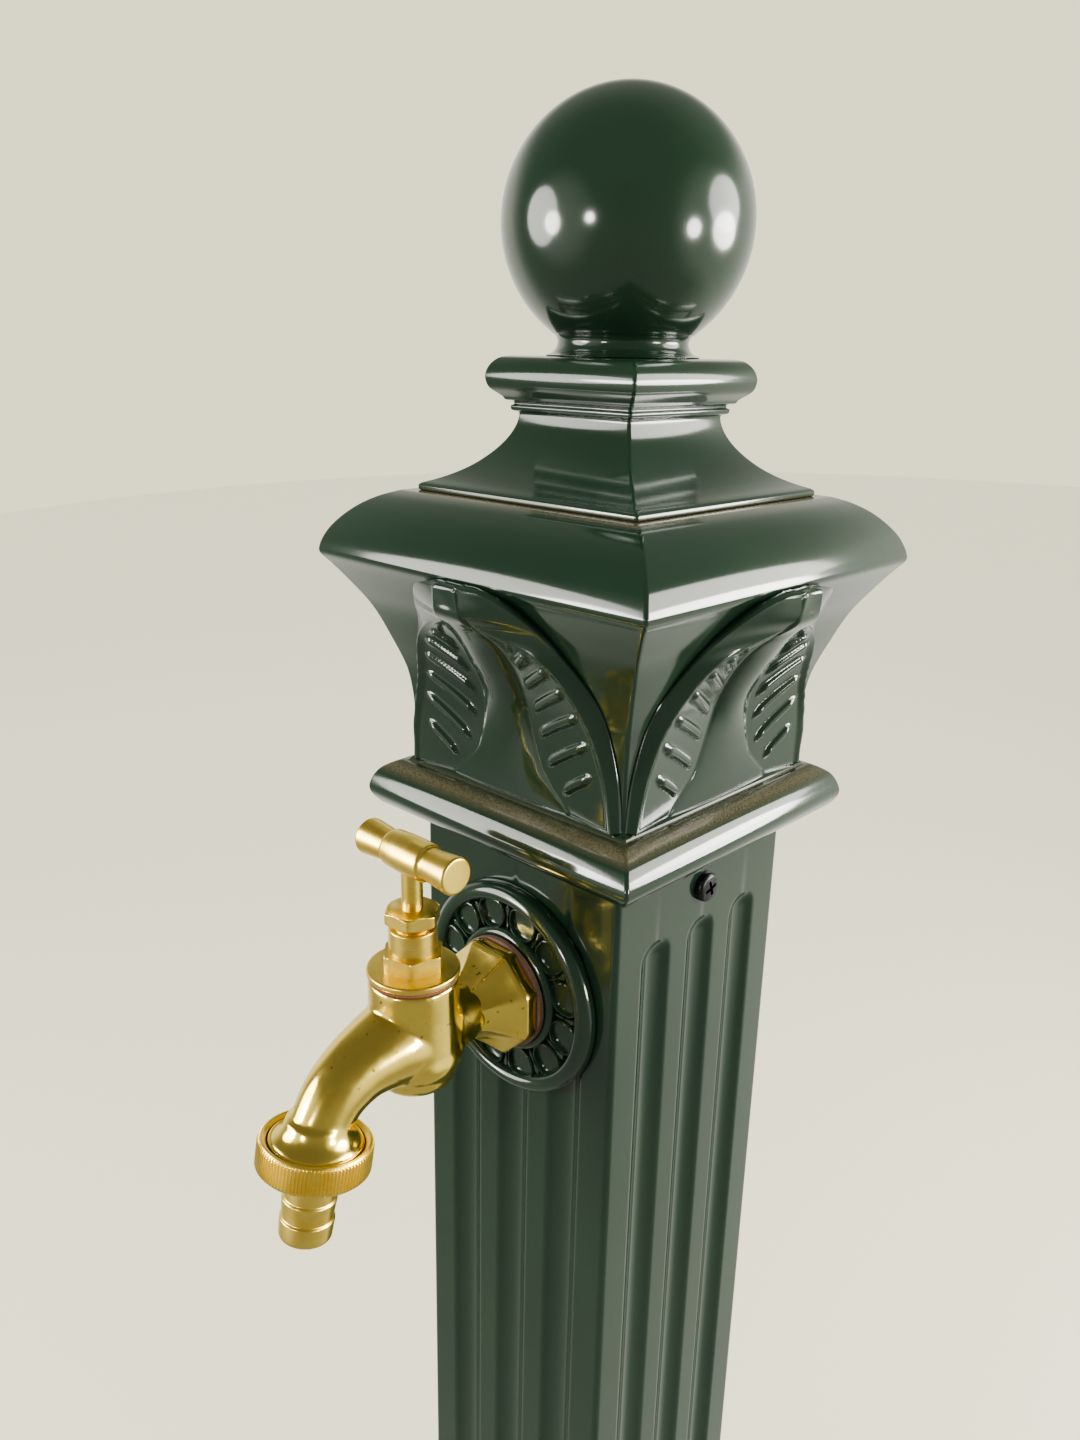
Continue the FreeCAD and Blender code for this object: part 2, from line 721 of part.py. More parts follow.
def gland_nut():
    """Hexagon on a short screwed spigot that presses the packing."""
    spigot = "packing_depth-packing_height+gland_spigot_step"
    head = prism(6, "gland_flats", "gland_hex_height", spin=8.0, up=spigot)
    crown = cone("gland_flats/2+1.6", "gland_flats/2-1", "gland_hex_height", up=spigot)
    rounded = doc.addObject("Part::Common", "gland_head")
    rounded.Base = head
    rounded.Tool = crown
    thread = cylinder("packing_radius-run_gap", spigot)
    bore = cylinder("stem_radius+run_gap", "packing_depth+gland_hex_height+gland_spigot_step", up="0-1")
    seat = CAP_SEAT + "+cap_disc_height+bonnet_height-packing_depth+packing_height"
    return place(cut("gland_nut", fuse("gland_blank", rounded, thread), bore), along="0-tap_reach", up=seat)


JUMPER_FOOT = SEAT_FACE + "+seat_washer_height"


def spindle():
    """Screwed stem: wide thread below with a socket for the jumper, plain stem into the handle."""
    foot = JUMPER_FOOT + "+jumper_plate_height+0.1"
    top = "tap_height+handle_height-(%s)" % foot
    socket = "jumper_stem_radius+fit_gap"
    corners = [
        (socket, "0", 0),
        ("spindle_thread_radius", "0", 0),
        ("spindle_thread_radius", "spindle_thread_length-0.6", 0),
        ("spindle_thread_radius-0.6", "spindle_thread_length", 0),
        ("stem_radius", "spindle_thread_length", 0),
        ("stem_radius", top, 0),
        ("0", top, 0),
        ("0", "spindle_socket_depth+1", 0),
        (socket, "spindle_socket_depth", 0),
    ]
    return place(turned("spindle", corners), along="0-tap_reach", up=foot)


def tee_handle():
    """Turned cross bar: flat chamfered ends, a waist each side of the middle barrel."""
    half = "handle_half"
    waist = "(handle_middle+handle_shoulder)"
    corners = [
        ("0", "0-" + half, 0),
        ("handle_radius-handle_chamfer", "0-" + half, 0),
        ("handle_radius-0.1", "handle_shoulder-" + half, 0.75),
        ("handle_waist", "0-" + waist, 0),
        ("handle_radius", "0-handle_middle", -0.8),
        ("handle_radius", "handle_middle", 6.0),
        ("handle_waist", waist, -0.8),
        ("handle_radius-0.1", half + "-handle_shoulder", 0),
        ("handle_radius-handle_chamfer", half, 0.75),
        ("0", half, 0),
    ]
    bar = place(turned("handle_bar", corners), axis=Y_AXIS, angle=90.0)
    bore = cylinder("stem_radius", "2*handle_radius", up="0-2*handle_radius")
    return place(cut("tee_handle", bar, bore), along="0-tap_reach", up="tap_height+handle_height")


def jumper_valve():
    """Plate that carries the seat washer, with a guide stem above and a threaded tail below."""
    tail = "seat_washer_height+2.6"
    corners = [
        ("0", "0-(%s)" % tail, 0),
        ("1.5", "0-(%s)" % tail, 0),
        ("1.5", "0", 0),
        ("jumper_plate_radius", "0", 0),
        ("jumper_plate_radius", "jumper_plate_height", 0),
        ("jumper_stem_radius", "jumper_plate_height", 0),
        ("jumper_stem_radius", "jumper_plate_height+spindle_socket_depth-1", 0),
        ("0", "jumper_plate_height+spindle_socket_depth-1", 0),
    ]
    return place(turned("jumper_valve", corners), along="0-tap_reach", up=JUMPER_FOOT)


def seat_washer():
    return flat_ring("seat_washer", "seat_washer_radius", "1.5+run_gap", "seat_washer_height",
                     along="0-tap_reach", up=SEAT_FACE)


def seat_washer_nut():
    plate = prism(6, "5.5", "2")
    ring = cut("seat_washer_nut", plate, cylinder("1.5+run_gap", "4", up="0-1"))
    return place(ring, along="0-tap_reach", up=SEAT_FACE + "-2")


# ---------------------------------------------------------------- outlet union


def union_washer():
    ring = flat_ring("union_washer", "tail_flange_radius", "tail_bore", "union_washer_height")
    return outlet_place(ring, "thread_length+union_washer_height")


def hose_tail():
    """Flanged spigot for a hose, with three shallow barbs and a chamfered end."""
    corners = [("tail_bore", "0-tail_length", 0), ("tail_radius-1.1", "0-tail_length", 0),
               ("tail_radius-0.2", "1.3-tail_length", 0)]
    for barb in (1, 2, 3):
        corners.append(("tail_radius", "%g-tail_length" % (6.0 * barb), 0))
        corners.append(("tail_radius-0.55", "%g-tail_length" % (6.0 * barb + 0.5), 0))
    corners += [
        ("tail_radius-0.55", "0-union_washer_height", 0),
        ("tail_flange_radius", "0-union_washer_height", 0),
        ("tail_flange_radius", "0", 0),
        ("tail_bore", "0", 0),
    ]
    return outlet_place(turned("hose_tail", corners), "thread_length+union_washer_height")


def union_nut():
    """Knurled ring nut whose lower lip draws the hose tail up to the mouth."""
    bore = "thread_radius+fit_gap"
    corners = [
        ("tail_radius+fit_gap", "0-union_height", 0),
        ("union_radius-0.8", "0-union_height", 0),
        ("union_radius", "0.8-union_height", 0),
        ("union_radius", "0-0.8", 0),
        ("union_radius-0.8", "0", 0),
        (bore + "+0.9", "0", 0),
        (bore, "0-0.9", 0),
        (bore, "union_lip-union_height", 0),
        ("tail_radius+fit_gap", "union_lip-union_height", 0),
    ]
    return outlet_place(turned("union_nut", corners), "0")


# ---------------------------------------------------------------- supply pipework


def elbow(label, up, toward, side_up):
    """Quarter bend with two screwed sockets: one along Y, one along Z."""
    out = "elbow_radius"
    side_angle = 90.0 if toward < 0 else -90.0
    solid = fuse(
        label + "_casting",
        sphere(out),
        cylinder(out, "elbow_socket", axis=X_AXIS, angle=side_angle),
        cylinder(out, "elbow_socket", axis=X_AXIS, angle=0.0 if side_up > 0 else 180.0),
    )
    socket = "pipe_radius+fit_gap"
    deep = "elbow_socket-elbow_stop"
    tools = [
        sphere("pipe_radius-pipe_wall"),
        cylinder("pipe_radius-pipe_wall", "elbow_socket+1", axis=X_AXIS, angle=side_angle),
        cylinder("pipe_radius-pipe_wall", "elbow_socket+1", axis=X_AXIS,
                 angle=0.0 if side_up > 0 else 180.0),
        cylinder(socket, deep, along="%d*elbow_stop" % toward, axis=X_AXIS, angle=side_angle),
        cylinder(socket, deep, up="%d*elbow_stop" % side_up, axis=X_AXIS,
                 angle=0.0 if side_up > 0 else 180.0),
    ]
    return place(cut(label, solid, *tools), up=up)


def pipe(label, length, **where):
    return flat_ring(label, "pipe_radius", "pipe_radius-pipe_wall", length, **where)


def riser_pipe():
    foot = "inlet_height+elbow_stop"
    return pipe("riser_pipe", "tap_height-elbow_stop-(%s)" % foot, up=foot)


def inlet_nipple():
    """Pipe through the rear wall; past a groove, its end is the thread for the supply."""
    inner = "inlet_reach-elbow_stop-inlet_thread-inlet_groove"
    held = pipe("inlet_held_end", inner)
    groove = flat_ring("inlet_groove", "pipe_radius-inlet_relief", "pipe_radius-pipe_wall",
                       "inlet_groove", up=inner)
    thread = pipe("inlet_thread_end", "inlet_thread", up=inner + "+inlet_groove")
    return place(fuse("inlet_nipple", held, groove, thread), along="elbow_stop", up="inlet_height",
                 axis=X_AXIS, angle=-90.0)


def inlet_washer():
    return flat_ring("inlet_washer", "backing_washer_radius", "pipe_radius+fit_gap",
                     "backing_washer_height", along="column_half", up="inlet_height",
                     axis=X_AXIS, angle=-90.0)


def inlet_locknut():
    plate = prism(6, "locknut_flats", "locknut_height")
    ring = cut("inlet_locknut", plate, cylinder("pipe_radius+fit_gap", "locknut_height+2", up="0-1"))
    return place(ring, along="column_half+backing_washer_height", up="inlet_height",
                 axis=X_AXIS, angle=-90.0)


BUILDERS = [
    base_plinth, column, capital, cap_pedestal, finial_ball, finial_stud, finial_washer, finial_nut,
    face_screws, rosette, wall_washer, tap_body, backing_washer, tap_locknut,
    bonnet_gasket, bonnet, gland_packing, gland_nut, spindle, tee_handle,
    jumper_valve, seat_washer, seat_washer_nut, union_washer, hose_tail, union_nut,
    riser_pipe, inlet_nipple, inlet_washer, inlet_locknut,
]


def export(pieces):
    """Stop on any failed object or bad shape, then write one STEP file for each piece."""
    doc.recompute()
    for item in doc.Objects:
        if "Invalid" in item.State or "Error" in item.State:
            raise RuntimeError("%s failed: %s" % (item.Label, item.State))
    for piece in pieces:
        shape = piece.Shape
        if shape.isNull() or not shape.isValid() or not shape.Solids:
            raise RuntimeError("%s has no good solid" % piece.Label)
    os.makedirs("parts", exist_ok=True)
    for piece in pieces:
        piece.Shape.exportStep("parts/%s.step" % piece.Label)
        box = piece.Shape.BoundBox
        print("%-18s solids %d  z %.1f to %.1f" % (piece.Label, len(piece.Shape.Solids), box.ZMin, box.ZMax))


pieces = [build() for build in BUILDERS]
pieces.append(elbow("supply_elbow", "tap_height", -1, -1))
pieces.append(elbow("inlet_elbow", "inlet_height", 1, 1))
export(pieces)
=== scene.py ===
import bmesh
import bpy
import json
import math
from mathutils import Matrix, Vector


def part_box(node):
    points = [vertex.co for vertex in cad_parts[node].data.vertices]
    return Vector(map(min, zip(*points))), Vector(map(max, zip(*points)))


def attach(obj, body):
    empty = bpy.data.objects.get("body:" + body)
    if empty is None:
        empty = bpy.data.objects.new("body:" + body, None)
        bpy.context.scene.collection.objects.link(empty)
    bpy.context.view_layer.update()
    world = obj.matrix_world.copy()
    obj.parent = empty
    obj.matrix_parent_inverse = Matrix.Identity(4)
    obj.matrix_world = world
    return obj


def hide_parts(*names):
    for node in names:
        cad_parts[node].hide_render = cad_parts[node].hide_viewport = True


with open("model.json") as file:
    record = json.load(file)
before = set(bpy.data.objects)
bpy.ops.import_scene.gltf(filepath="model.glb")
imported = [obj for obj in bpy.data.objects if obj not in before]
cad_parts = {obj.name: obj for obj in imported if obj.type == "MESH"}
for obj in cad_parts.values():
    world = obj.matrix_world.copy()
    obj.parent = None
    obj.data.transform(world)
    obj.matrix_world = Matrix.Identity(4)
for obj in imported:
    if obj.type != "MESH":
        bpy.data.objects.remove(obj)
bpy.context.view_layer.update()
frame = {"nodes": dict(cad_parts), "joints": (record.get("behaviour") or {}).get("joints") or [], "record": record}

MM = 0.001
TURN = 2 * math.pi

# ---------------------------------------------------------------- places taken from the frame


def middle(node):
    low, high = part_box(node)
    return [(a + b) / 2 / MM for a, b in zip(low, high)]


def lowest(node, axis=2):
    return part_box(node)[0][axis] / MM


def highest(node, axis=2):
    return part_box(node)[1][axis] / MM


JOINTS = {joint["name"]: joint for joint in frame["joints"]}
COLUMN_HALF = highest("column", 0)
COLUMN_TOP = highest("column")
BASE_HALF = highest("base_plinth", 0)
BASE_TOP = highest("base_plinth")
CAPITAL_TOP = highest("capital")
PEDESTAL_TOP = highest("cap_pedestal")
BALL_TOP = highest("finial_ball")
STEM_Y = middle("spindle")[1]
TAP_Z = middle("rosette")[2]
CAP_SEAT = highest("bonnet_gasket")
HANDLE_Z = middle("tee_handle")[2]
OUTLET = [part / MM for part in JOINTS["union_turn"]["pos_m"]]
OUTLET_TILT = math.atan2(-JOINTS["union_turn"]["axis"][1], -JOINTS["union_turn"]["axis"][2])

# ---------------------------------------------------------------- outlines


def traced(corners):
    """Points along an outline of (across, up, bow): bow is an arc's radius over its chord, 0 is straight."""
    points = [Vector(corners[0][:2])]
    for across, up, bow in corners[1:]:
        start = points[-1]
        end = Vector((across, up))
        chord = end - start
        if not bow:
            points.append(end)
            continue
        radius = chord.length * abs(bow)
        side = Vector((-chord.y, chord.x)).normalized() * (1 if bow > 0 else -1)
        centre = (start + end) / 2 + side * math.sqrt(max(radius ** 2 - chord.length_squared / 4, 0))
        sweep = 2 * math.asin(min(0.5 / abs(bow), 1)) * (1 if bow > 0 else -1)
        steps = max(3, int(abs(math.degrees(sweep)) / 5))
        for step in range(1, steps + 1):
            points.append(centre + Matrix.Rotation(sweep * step / steps, 2) @ (start - centre))
        points[-1] = end
    return points


def softened(corners, radius, spacing=0.12):
    """The outline with every sharp corner eased to about the radius, as few points as it needs."""
    points = traced(corners)
    dense = []
    for start, end in zip(points, points[1:]):
        steps = max(1, math.ceil((end - start).length / spacing))
        dense += [start.lerp(end, step / steps) for step in range(steps)]
    dense.append(points[-1])
    reach = max(1, round(radius / spacing))
    for _ in range(3):
        smooth = []
        for index, point in enumerate(dense):
            room = min(reach, index, len(dense) - 1 - index)
            window = dense[index - room:index + room + 1]
            smooth.append(sum(window, Vector((0, 0))) / len(window))
        dense = smooth
    return thinned(dense, 0.004)


def curved(points, per_span):
    """Places along a smooth line through points of two or three parts."""
    places = [Vector(point) for point in points]
    line = []
    for index in range(len(places) - 1):
        before = places[max(index - 1, 0)]
        start, end = places[index], places[index + 1]
        after = places[min(index + 2, len(places) - 1)]
        for step in range(per_span):
            part = step / per_span
            line.append(0.5 * (2 * start + (end - before) * part
                               + (2 * before - 5 * start + 4 * end - after) * part ** 2
                               + (3 * start - before - 3 * end + after) * part ** 3))
    line.append(places[-1])
    return line


def through(points, per_span=6):
    """Outline corners, none of them bowed, along a smooth line through (across, up) points."""
    return [(point.x, point.y, 0) for point in curved(points, per_span)]


def thinned(points, tolerance):
    """Drop points that lie within the tolerance of the line between the ones kept."""
    keep = {0, len(points) - 1}
    stack = [(0, len(points) - 1)]
    while stack:
        first, last = stack.pop()
        line = points[last] - points[first]
        worst, where = tolerance, None
        for index in range(first + 1, last):
            offset = points[index] - points[first]
            if line.length > 1e-9:
                gap = abs(line.x * offset.y - line.y * offset.x) / line.length
            else:
                gap = offset.length
            if gap > worst:
                worst, where = gap, index
        if where is not None:
            keep.add(where)
            stack += [(first, where), (where, last)]
    return [points[index] for index in sorted(keep)]


# ---------------------------------------------------------------- meshes


def finish_mesh(name, made, material, sharp=38.0, place=Matrix.Identity(4)):
    """Turn a bmesh in millimetres into an object in metres, smooth except at sharp edges."""
    bmesh.ops.remove_doubles(made, verts=made.verts, dist=0.002)
    bmesh.ops.dissolve_degenerate(made, edges=made.edges, dist=0.001)
    bmesh.ops.recalc_face_normals(made, faces=made.faces)
    bmesh.ops.transform(made, matrix=Matrix.Scale(MM, 4) @ place, verts=made.verts)
    mesh = bpy.data.meshes.new(name)
    made.to_mesh(mesh)
    made.free()
    mesh.materials.append(material)
    mesh.shade_smooth()
    mesh.set_sharp_from_angle(angle=math.radians(sharp))
    piece = bpy.data.objects.new(name, mesh)
    bpy.context.scene.collection.objects.link(piece)
    return piece


def add_rings(made, rings, closed_ends=(True, True), loop=False):
    """Skin closed rings of points; optionally cap the ends, or join the last to the first."""
    rows = [[made.verts.new(point) for point in ring] for ring in rings]
    pairs = list(zip(rows, rows[1:]))
    if loop:
        pairs.append((rows[-1], rows[0]))
    for lower, upper in pairs:
        count = len(lower)
        for index in range(count):
            beside = (index + 1) % count
            made.faces.new((lower[index], lower[beside], upper[beside], upper[index]))
    if not loop and closed_ends[0]:
        made.faces.new(list(reversed(rows[0])))
    if not loop and closed_ends[1]:
        made.faces.new(rows[-1])
    return rows


def circle(radius, up, count, phase=0.0):
    return [Vector((radius * math.cos(phase + TURN * step / count),
                    radius * math.sin(phase + TURN * step / count), up)) for step in range(count)]


def add_turned(made, outline, count=96, loop=False):
    """Turn an outline of (radius, up) about Z; its ends on the axis close it."""
    rings = [circle(max(point.x, 0.0), point.y, count) for point in outline]
    add_rings(made, rings, (outline[0].x > 0.01, outline[-1].x > 0.01), loop)


def square(half, up, corner, steps=4):
    """A ring round a square with rounded corners."""
    corner = min(corner, half * 0.5)
    ring = []
    for quarter in range(4):
        turn = TURN * quarter / 4
        centre = Vector((half - corner, half - corner, up))
        for step in range(steps + 1):
            angle = TURN / 4 * step / steps
            point = centre + Vector((corner * math.cos(angle), corner * math.sin(angle), 0))
            ring.append(Matrix.Rotation(turn, 3, "Z") @ point)
    return ring


def add_square_moulding(made, outline, corner):
    rings = [square(max(point.x, 0.6), point.y, corner) for point in outline]
    add_rings(made, rings)


def add_hexagon(made, flats, low, high, top_cut, foot_cut, vertex):
    """Six sides with their corners turned off a little at the top and the foot."""
    out = flats / 2 / math.cos(math.pi / 6)
    per_side, steps = 12, 24
    steepness, worn = 1.9, 0.12
    rings = []
    for step in range(steps + 1):
        level = low + (high - low) * step / steps
        crown = min(out - top_cut + steepness * (high - level), out - foot_cut + steepness * (level - low),
                    out - worn)
        ring = []
        for place in range(6 * per_side):
            local = (place / per_side % 1.0 - 0.5) * math.pi / 3
            radius = min(flats / 2 / math.cos(local), crown)
            spin = math.radians(vertex) + TURN * place / (6 * per_side)
            ring.append(Vector((radius * math.cos(spin), radius * math.sin(spin), level)))
        rings.append(ring)
    add_rings(made, rings)


# ---------------------------------------------------------------- geometry nodes


def round_repeat_tree():
    """Repeats the mesh it is given, Count times, evenly round the Z axis."""
    tree = bpy.data.node_groups.new("round_repeat", "GeometryNodeTree")
    sockets = tree.interface
    sockets.new_socket("Geometry", in_out="INPUT", socket_type="NodeSocketGeometry")
    sockets.new_socket("Count", in_out="INPUT", socket_type="NodeSocketInt")
    sockets.new_socket("Finish", in_out="INPUT", socket_type="NodeSocketMaterial")
    sockets.new_socket("Geometry", in_out="OUTPUT", socket_type="NodeSocketGeometry")
    add = tree.nodes.new
    start, end = add("NodeGroupInput"), add("NodeGroupOutput")
    line, index = add("GeometryNodeMeshLine"), add("GeometryNodeInputIndex")
    share, angle = add("ShaderNodeMath"), add("ShaderNodeMath")
    turn, rotation = add("ShaderNodeCombineXYZ"), add("FunctionNodeEulerToRotation")
    instance, realize = add("GeometryNodeInstanceOnPoints"), add("GeometryNodeRealizeInstances")
    finish = add("GeometryNodeSetMaterial")
    line.inputs["Offset"].default_value = (0, 0, 0)
    share.operation = "DIVIDE"
    angle.operation = "MULTIPLY"
    angle.inputs[1].default_value = TURN
    for source, output, target, socket in (
            (start, "Count", line, "Count"), (index, 0, share, 0), (start, "Count", share, 1),
            (share, 0, angle, 0), (angle, 0, turn, "Z"), (turn, 0, rotation, 0),
            (line, 0, instance, "Points"), (start, "Geometry", instance, "Instance"),
            (rotation, 0, instance, "Rotation"), (instance, 0, realize, 0),
            (realize, 0, finish, "Geometry"), (start, "Finish", finish, "Material"),
            (finish, 0, end, "Geometry")):
        tree.links.new(source.outputs[output], target.inputs[socket])
    return tree


ROUND_REPEAT = round_repeat_tree()


def repeated(name, single, count, material, place=Matrix.Identity(4), sharp=38.0):
    """Copies of one small mesh round an axis, as a plain mesh of their own."""
    seed = finish_mesh(name + "_one", single, material, sharp)
    modifier = seed.modifiers.new("repeat", "NODES")
    modifier.node_group = ROUND_REPEAT
    identifiers = {item.name: item.identifier for item in ROUND_REPEAT.interface.items_tree
                   if item.in_out == "INPUT"}
    modifier[identifiers["Count"]] = count
    modifier[identifiers["Finish"]] = material
    ready = seed.evaluated_get(bpy.context.evaluated_depsgraph_get())
    mesh = bpy.data.meshes.new_from_object(ready)
    seed.modifiers.remove(modifier)
    bpy.data.objects.remove(seed)
    mesh.transform(Matrix.Scale(MM, 4) @ place @ Matrix.Scale(1 / MM, 4))
    mesh.name = name
    piece = bpy.data.objects.new(name, mesh)
    bpy.context.scene.collection.objects.link(piece)
    return piece


def applied(piece, *modifiers):
    """Apply the modifiers given as (kind, settings) and keep the result as plain mesh."""
    for kind, settings in modifiers:
        modifier = piece.modifiers.new(kind.lower(), kind)
        for key, setting in settings.items():
            setattr(modifier, key, setting)
    ready = piece.evaluated_get(bpy.context.evaluated_depsgraph_get())
    mesh = bpy.data.meshes.new_from_object(ready)
    piece.modifiers.clear()
    piece.data = mesh
    return piece


def drilled_out(piece, outline, place):
    """Take the form turned from the outline away from the piece."""
    made = bmesh.new()
    add_turned(made, [Vector(point) for point in outline], 64)
    drill = finish_mesh("drill", made, None, place=place)
    applied(piece, ("BOOLEAN", {"object": drill, "operation": "DIFFERENCE", "solver": "EXACT"}))
    bpy.data.objects.remove(drill)


def stands_for(piece, body, slot, *nodes):
    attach(piece, body)
    if nodes:
        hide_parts(*nodes)
    return piece


# ---------------------------------------------------------------- finishes


def spread_node(tree, source, low, high, to_low=0.0, to_high=1.0, step="LINEAR"):
    """Map low to high on to to_low to to_high."""
    node = tree.nodes.new("ShaderNodeMapRange")
    node.interpolation_type = step
    names = ("From Min", "From Max", "To Min", "To Max")
    for socket, setting in zip(names, (low, high, to_low, to_high)):
        node.inputs[socket].default_value = setting
    tree.links.new(source, node.inputs["Value"])
    return node.outputs["Result"]


def math_node(tree, kind, first, second):
    node = tree.nodes.new("ShaderNodeMath")
    node.operation = kind
    for socket, item in zip(node.inputs, (first, second)):
        if isinstance(item, (int, float)):
            socket.default_value = item
        else:
            tree.links.new(item, socket)
    return node.outputs[0]


def mix_node(tree, amount, first, second):
    """First and second are colours, or sockets that give one."""
    node = tree.nodes.new("ShaderNodeMix")
    node.data_type = "RGBA"
    tree.links.new(amount, node.inputs[0])
    for socket, item in ((node.inputs[6], first), (node.inputs[7], second)):
        if isinstance(item, tuple):
            socket.default_value = item + (1.0,)
        else:
            tree.links.new(item, socket)
    return node.outputs[2]


class Finish:
    """A node material in short: object coordinates, noises, mixes and one shader."""

    def __init__(self, name):
        self.material = bpy.data.materials.new(name)
        self.material.use_nodes = True
        self.nodes = self.material.node_tree.nodes
        self.links = self.material.node_tree.links
        self.shader = self.nodes["Principled BSDF"]
        self.place = self.nodes.new("ShaderNodeTexCoord").outputs["Object"]

    def set(self, **sockets):
        for socket, setting in sockets.items():
            self.shader.inputs[socket.replace("_", " ")].default_value = setting
        return self

    def noise(self, scale, detail=3.0, rough=0.5, stretch=None):
        texture = self.nodes.new("ShaderNodeTexNoise")
        texture.inputs["Scale"].default_value = scale
        texture.inputs["Detail"].default_value = detail
        texture.inputs["Roughness"].default_value = rough
        source = self.place
        if stretch:
            mapping = self.nodes.new("ShaderNodeMapping")
            mapping.inputs["Scale"].default_value = stretch
            self.links.new(self.place, mapping.inputs["Vector"])
            source = mapping.outputs["Vector"]
        self.links.new(source, texture.inputs["Vector"])
        return texture.outputs["Fac"]

    def spread(self, value, *span):
        return spread_node(self.material.node_tree, value, *span)

    def math(self, kind, first, second):
        return math_node(self.material.node_tree, kind, first, second)

    def height(self):
        node = self.nodes.new("ShaderNodeSeparateXYZ")
        self.links.new(self.place, node.inputs[0])
        return node.outputs["Z"]

    def distance(self):
        node = self.nodes.new("ShaderNodeVectorMath")
        node.operation = "LENGTH"
        self.links.new(self.place, node.inputs[0])
        return node.outputs["Value"]

    def mix(self, amount, first, second):
        return mix_node(self.material.node_tree, amount, first, second)

    def colour(self, output):
        self.links.new(output, self.shader.inputs["Base Color"])
        return self

    def rough(self, output):
        self.links.new(output, self.shader.inputs["Roughness"])
        return self

    def bump(self, *layers):
        """Each layer is (height, depth in millimetres)."""
        normal = None
        for height, depth in layers:
            node = self.nodes.new("ShaderNodeBump")
            node.inputs["Distance"].default_value = depth * MM
            node.inputs["Strength"].default_value = 1.0
            self.links.new(height, node.inputs["Height"])
            if normal:
                self.links.new(normal, node.inputs["Normal"])
            normal = node.outputs["Normal"]
        self.links.new(normal, self.shader.inputs["Normal"])
        return self


def green_powder_coat():
    """Dark fir green, glossy over cast aluminium, with ripple and a little dust in the seams."""
    paint = Finish("green_powder_coat")
    paint.set(Metallic=0.0, Coat_Weight=0.5, Coat_Roughness=0.08, Specular_IOR_Level=0.5)
    patches = paint.noise(9.0, 4.0)
    deep, fresh = (0.0105, 0.0260, 0.0150), (0.0140, 0.0325, 0.0180)
    green = paint.mix(paint.spread(patches, 0.35, 0.65), deep, fresh)
    grime = paint.spread(paint.noise(1500.0, 3.0, 0.6), 0.3, 0.7, 0.35, 0.9)
    seam_dust = None
    for level, reach in ((CAPITAL_TOP + 0.1, 0.9), (COLUMN_TOP + 18.2, 2.4)):
        near = paint.math("ABSOLUTE", paint.math("SUBTRACT", paint.height(), level * MM), 0.0)
        band = paint.spread(near, reach * MM, 0.1 * reach * MM)
        seam_dust = band if seam_dust is None else paint.math("MAXIMUM", seam_dust, band)
    dust = paint.math("MULTIPLY", seam_dust, grime)
    paint.colour(paint.mix(dust, green, (0.105, 0.085, 0.045)))
    paint.rough(paint.math("MAXIMUM", paint.spread(patches, 0.3, 0.7, 0.10, 0.17),
                           paint.math("MULTIPLY", dust, 0.5)))
    paint.bump((paint.noise(60.0, 1.0), 0.03), (paint.noise(420.0, 2.0), 0.008))
    return paint.material


def black_oxide():
    finish = Finish("black_oxide").set(Metallic=0.3)
    wear = finish.noise(900.0, 4.0)
    finish.colour(finish.mix(finish.spread(wear, 0.55, 0.75), (0.012, 0.012, 0.013), (0.05, 0.05, 0.05)))
    finish.rough(finish.spread(wear, 0.3, 0.7, 0.28, 0.42))
    return finish.bump((wear, 0.01)).material


def polished_brass():
    """Buffed casting: bright, a little wavy, with brown stains and pin holes."""
    brass = Finish("polished_brass").set(Metallic=1.0)
    stains = brass.spread(brass.noise(70.0, 6.0, 0.65), 0.54, 0.74)
    spots = brass.spread(brass.noise(420.0, 2.0), 0.68, 0.76)
    metal = brass.mix(stains, (0.98, 0.76, 0.20), (0.90, 0.60, 0.11))
    brass.colour(brass.mix(spots, metal, (0.42, 0.22, 0.05)))
    brass.rough(brass.spread(brass.noise(160.0, 4.0), 0.3, 0.7, 0.12, 0.22))
    return brass.bump((brass.noise(90.0, 2.0), 0.12), (brass.noise(700.0, 3.0), 0.008)).material


def turned_brass(name, lines):
    """Satin brass off the lathe; lines gives the direction that the tool marks vary along."""
    brass = Finish(name).set(Metallic=1.0)
    marks = brass.noise(1.0, 2.0, 0.6, lines)
    tarnish = brass.spread(brass.noise(150.0, 5.0, 0.6), 0.45, 0.75)
    brass.colour(brass.mix(tarnish, (0.96, 0.74, 0.20), (0.89, 0.60, 0.125)))
    brass.rough(brass.spread(marks, 0.3, 0.7, 0.27, 0.34))
    return brass.bump((marks, 0.004), (brass.noise(500.0, 3.0), 0.005)).material


def plain_metal(name, colour, rough, metallic=1.0, grain=600.0):
    metal = Finish(name).set(Metallic=metallic)
    grains = metal.noise(grain, 4.0, 0.6)
    darker = tuple(part * 0.7 for part in colour)
    metal.colour(metal.mix(metal.spread(grains, 0.4, 0.7), colour, darker))
    metal.rough(metal.spread(grains, 0.3, 0.7, rough * 0.85, rough * 1.25))
    return metal.bump((grains, 0.02)).material


GREEN = green_powder_coat()
BLACK = black_oxide()
CAST_BRASS = polished_brass()
STEM_BRASS = turned_brass("turned_brass_upright", (40, 40, 5000))
BAR_BRASS = turned_brass("turned_brass_cross", (5000, 40, 40))
ZINC = plain_metal("zinc_plate", (0.60, 0.60, 0.58), 0.34)
IRON = plain_metal("galvanised_iron", (0.40, 0.41, 0.42), 0.5)
FIBRE = plain_metal("red_fibre", (0.20, 0.075, 0.045), 0.75, metallic=0.0, grain=1500.0)
RUBBER = plain_metal("black_rubber", (0.02, 0.02, 0.02), 0.6, metallic=0.0, grain=900.0)

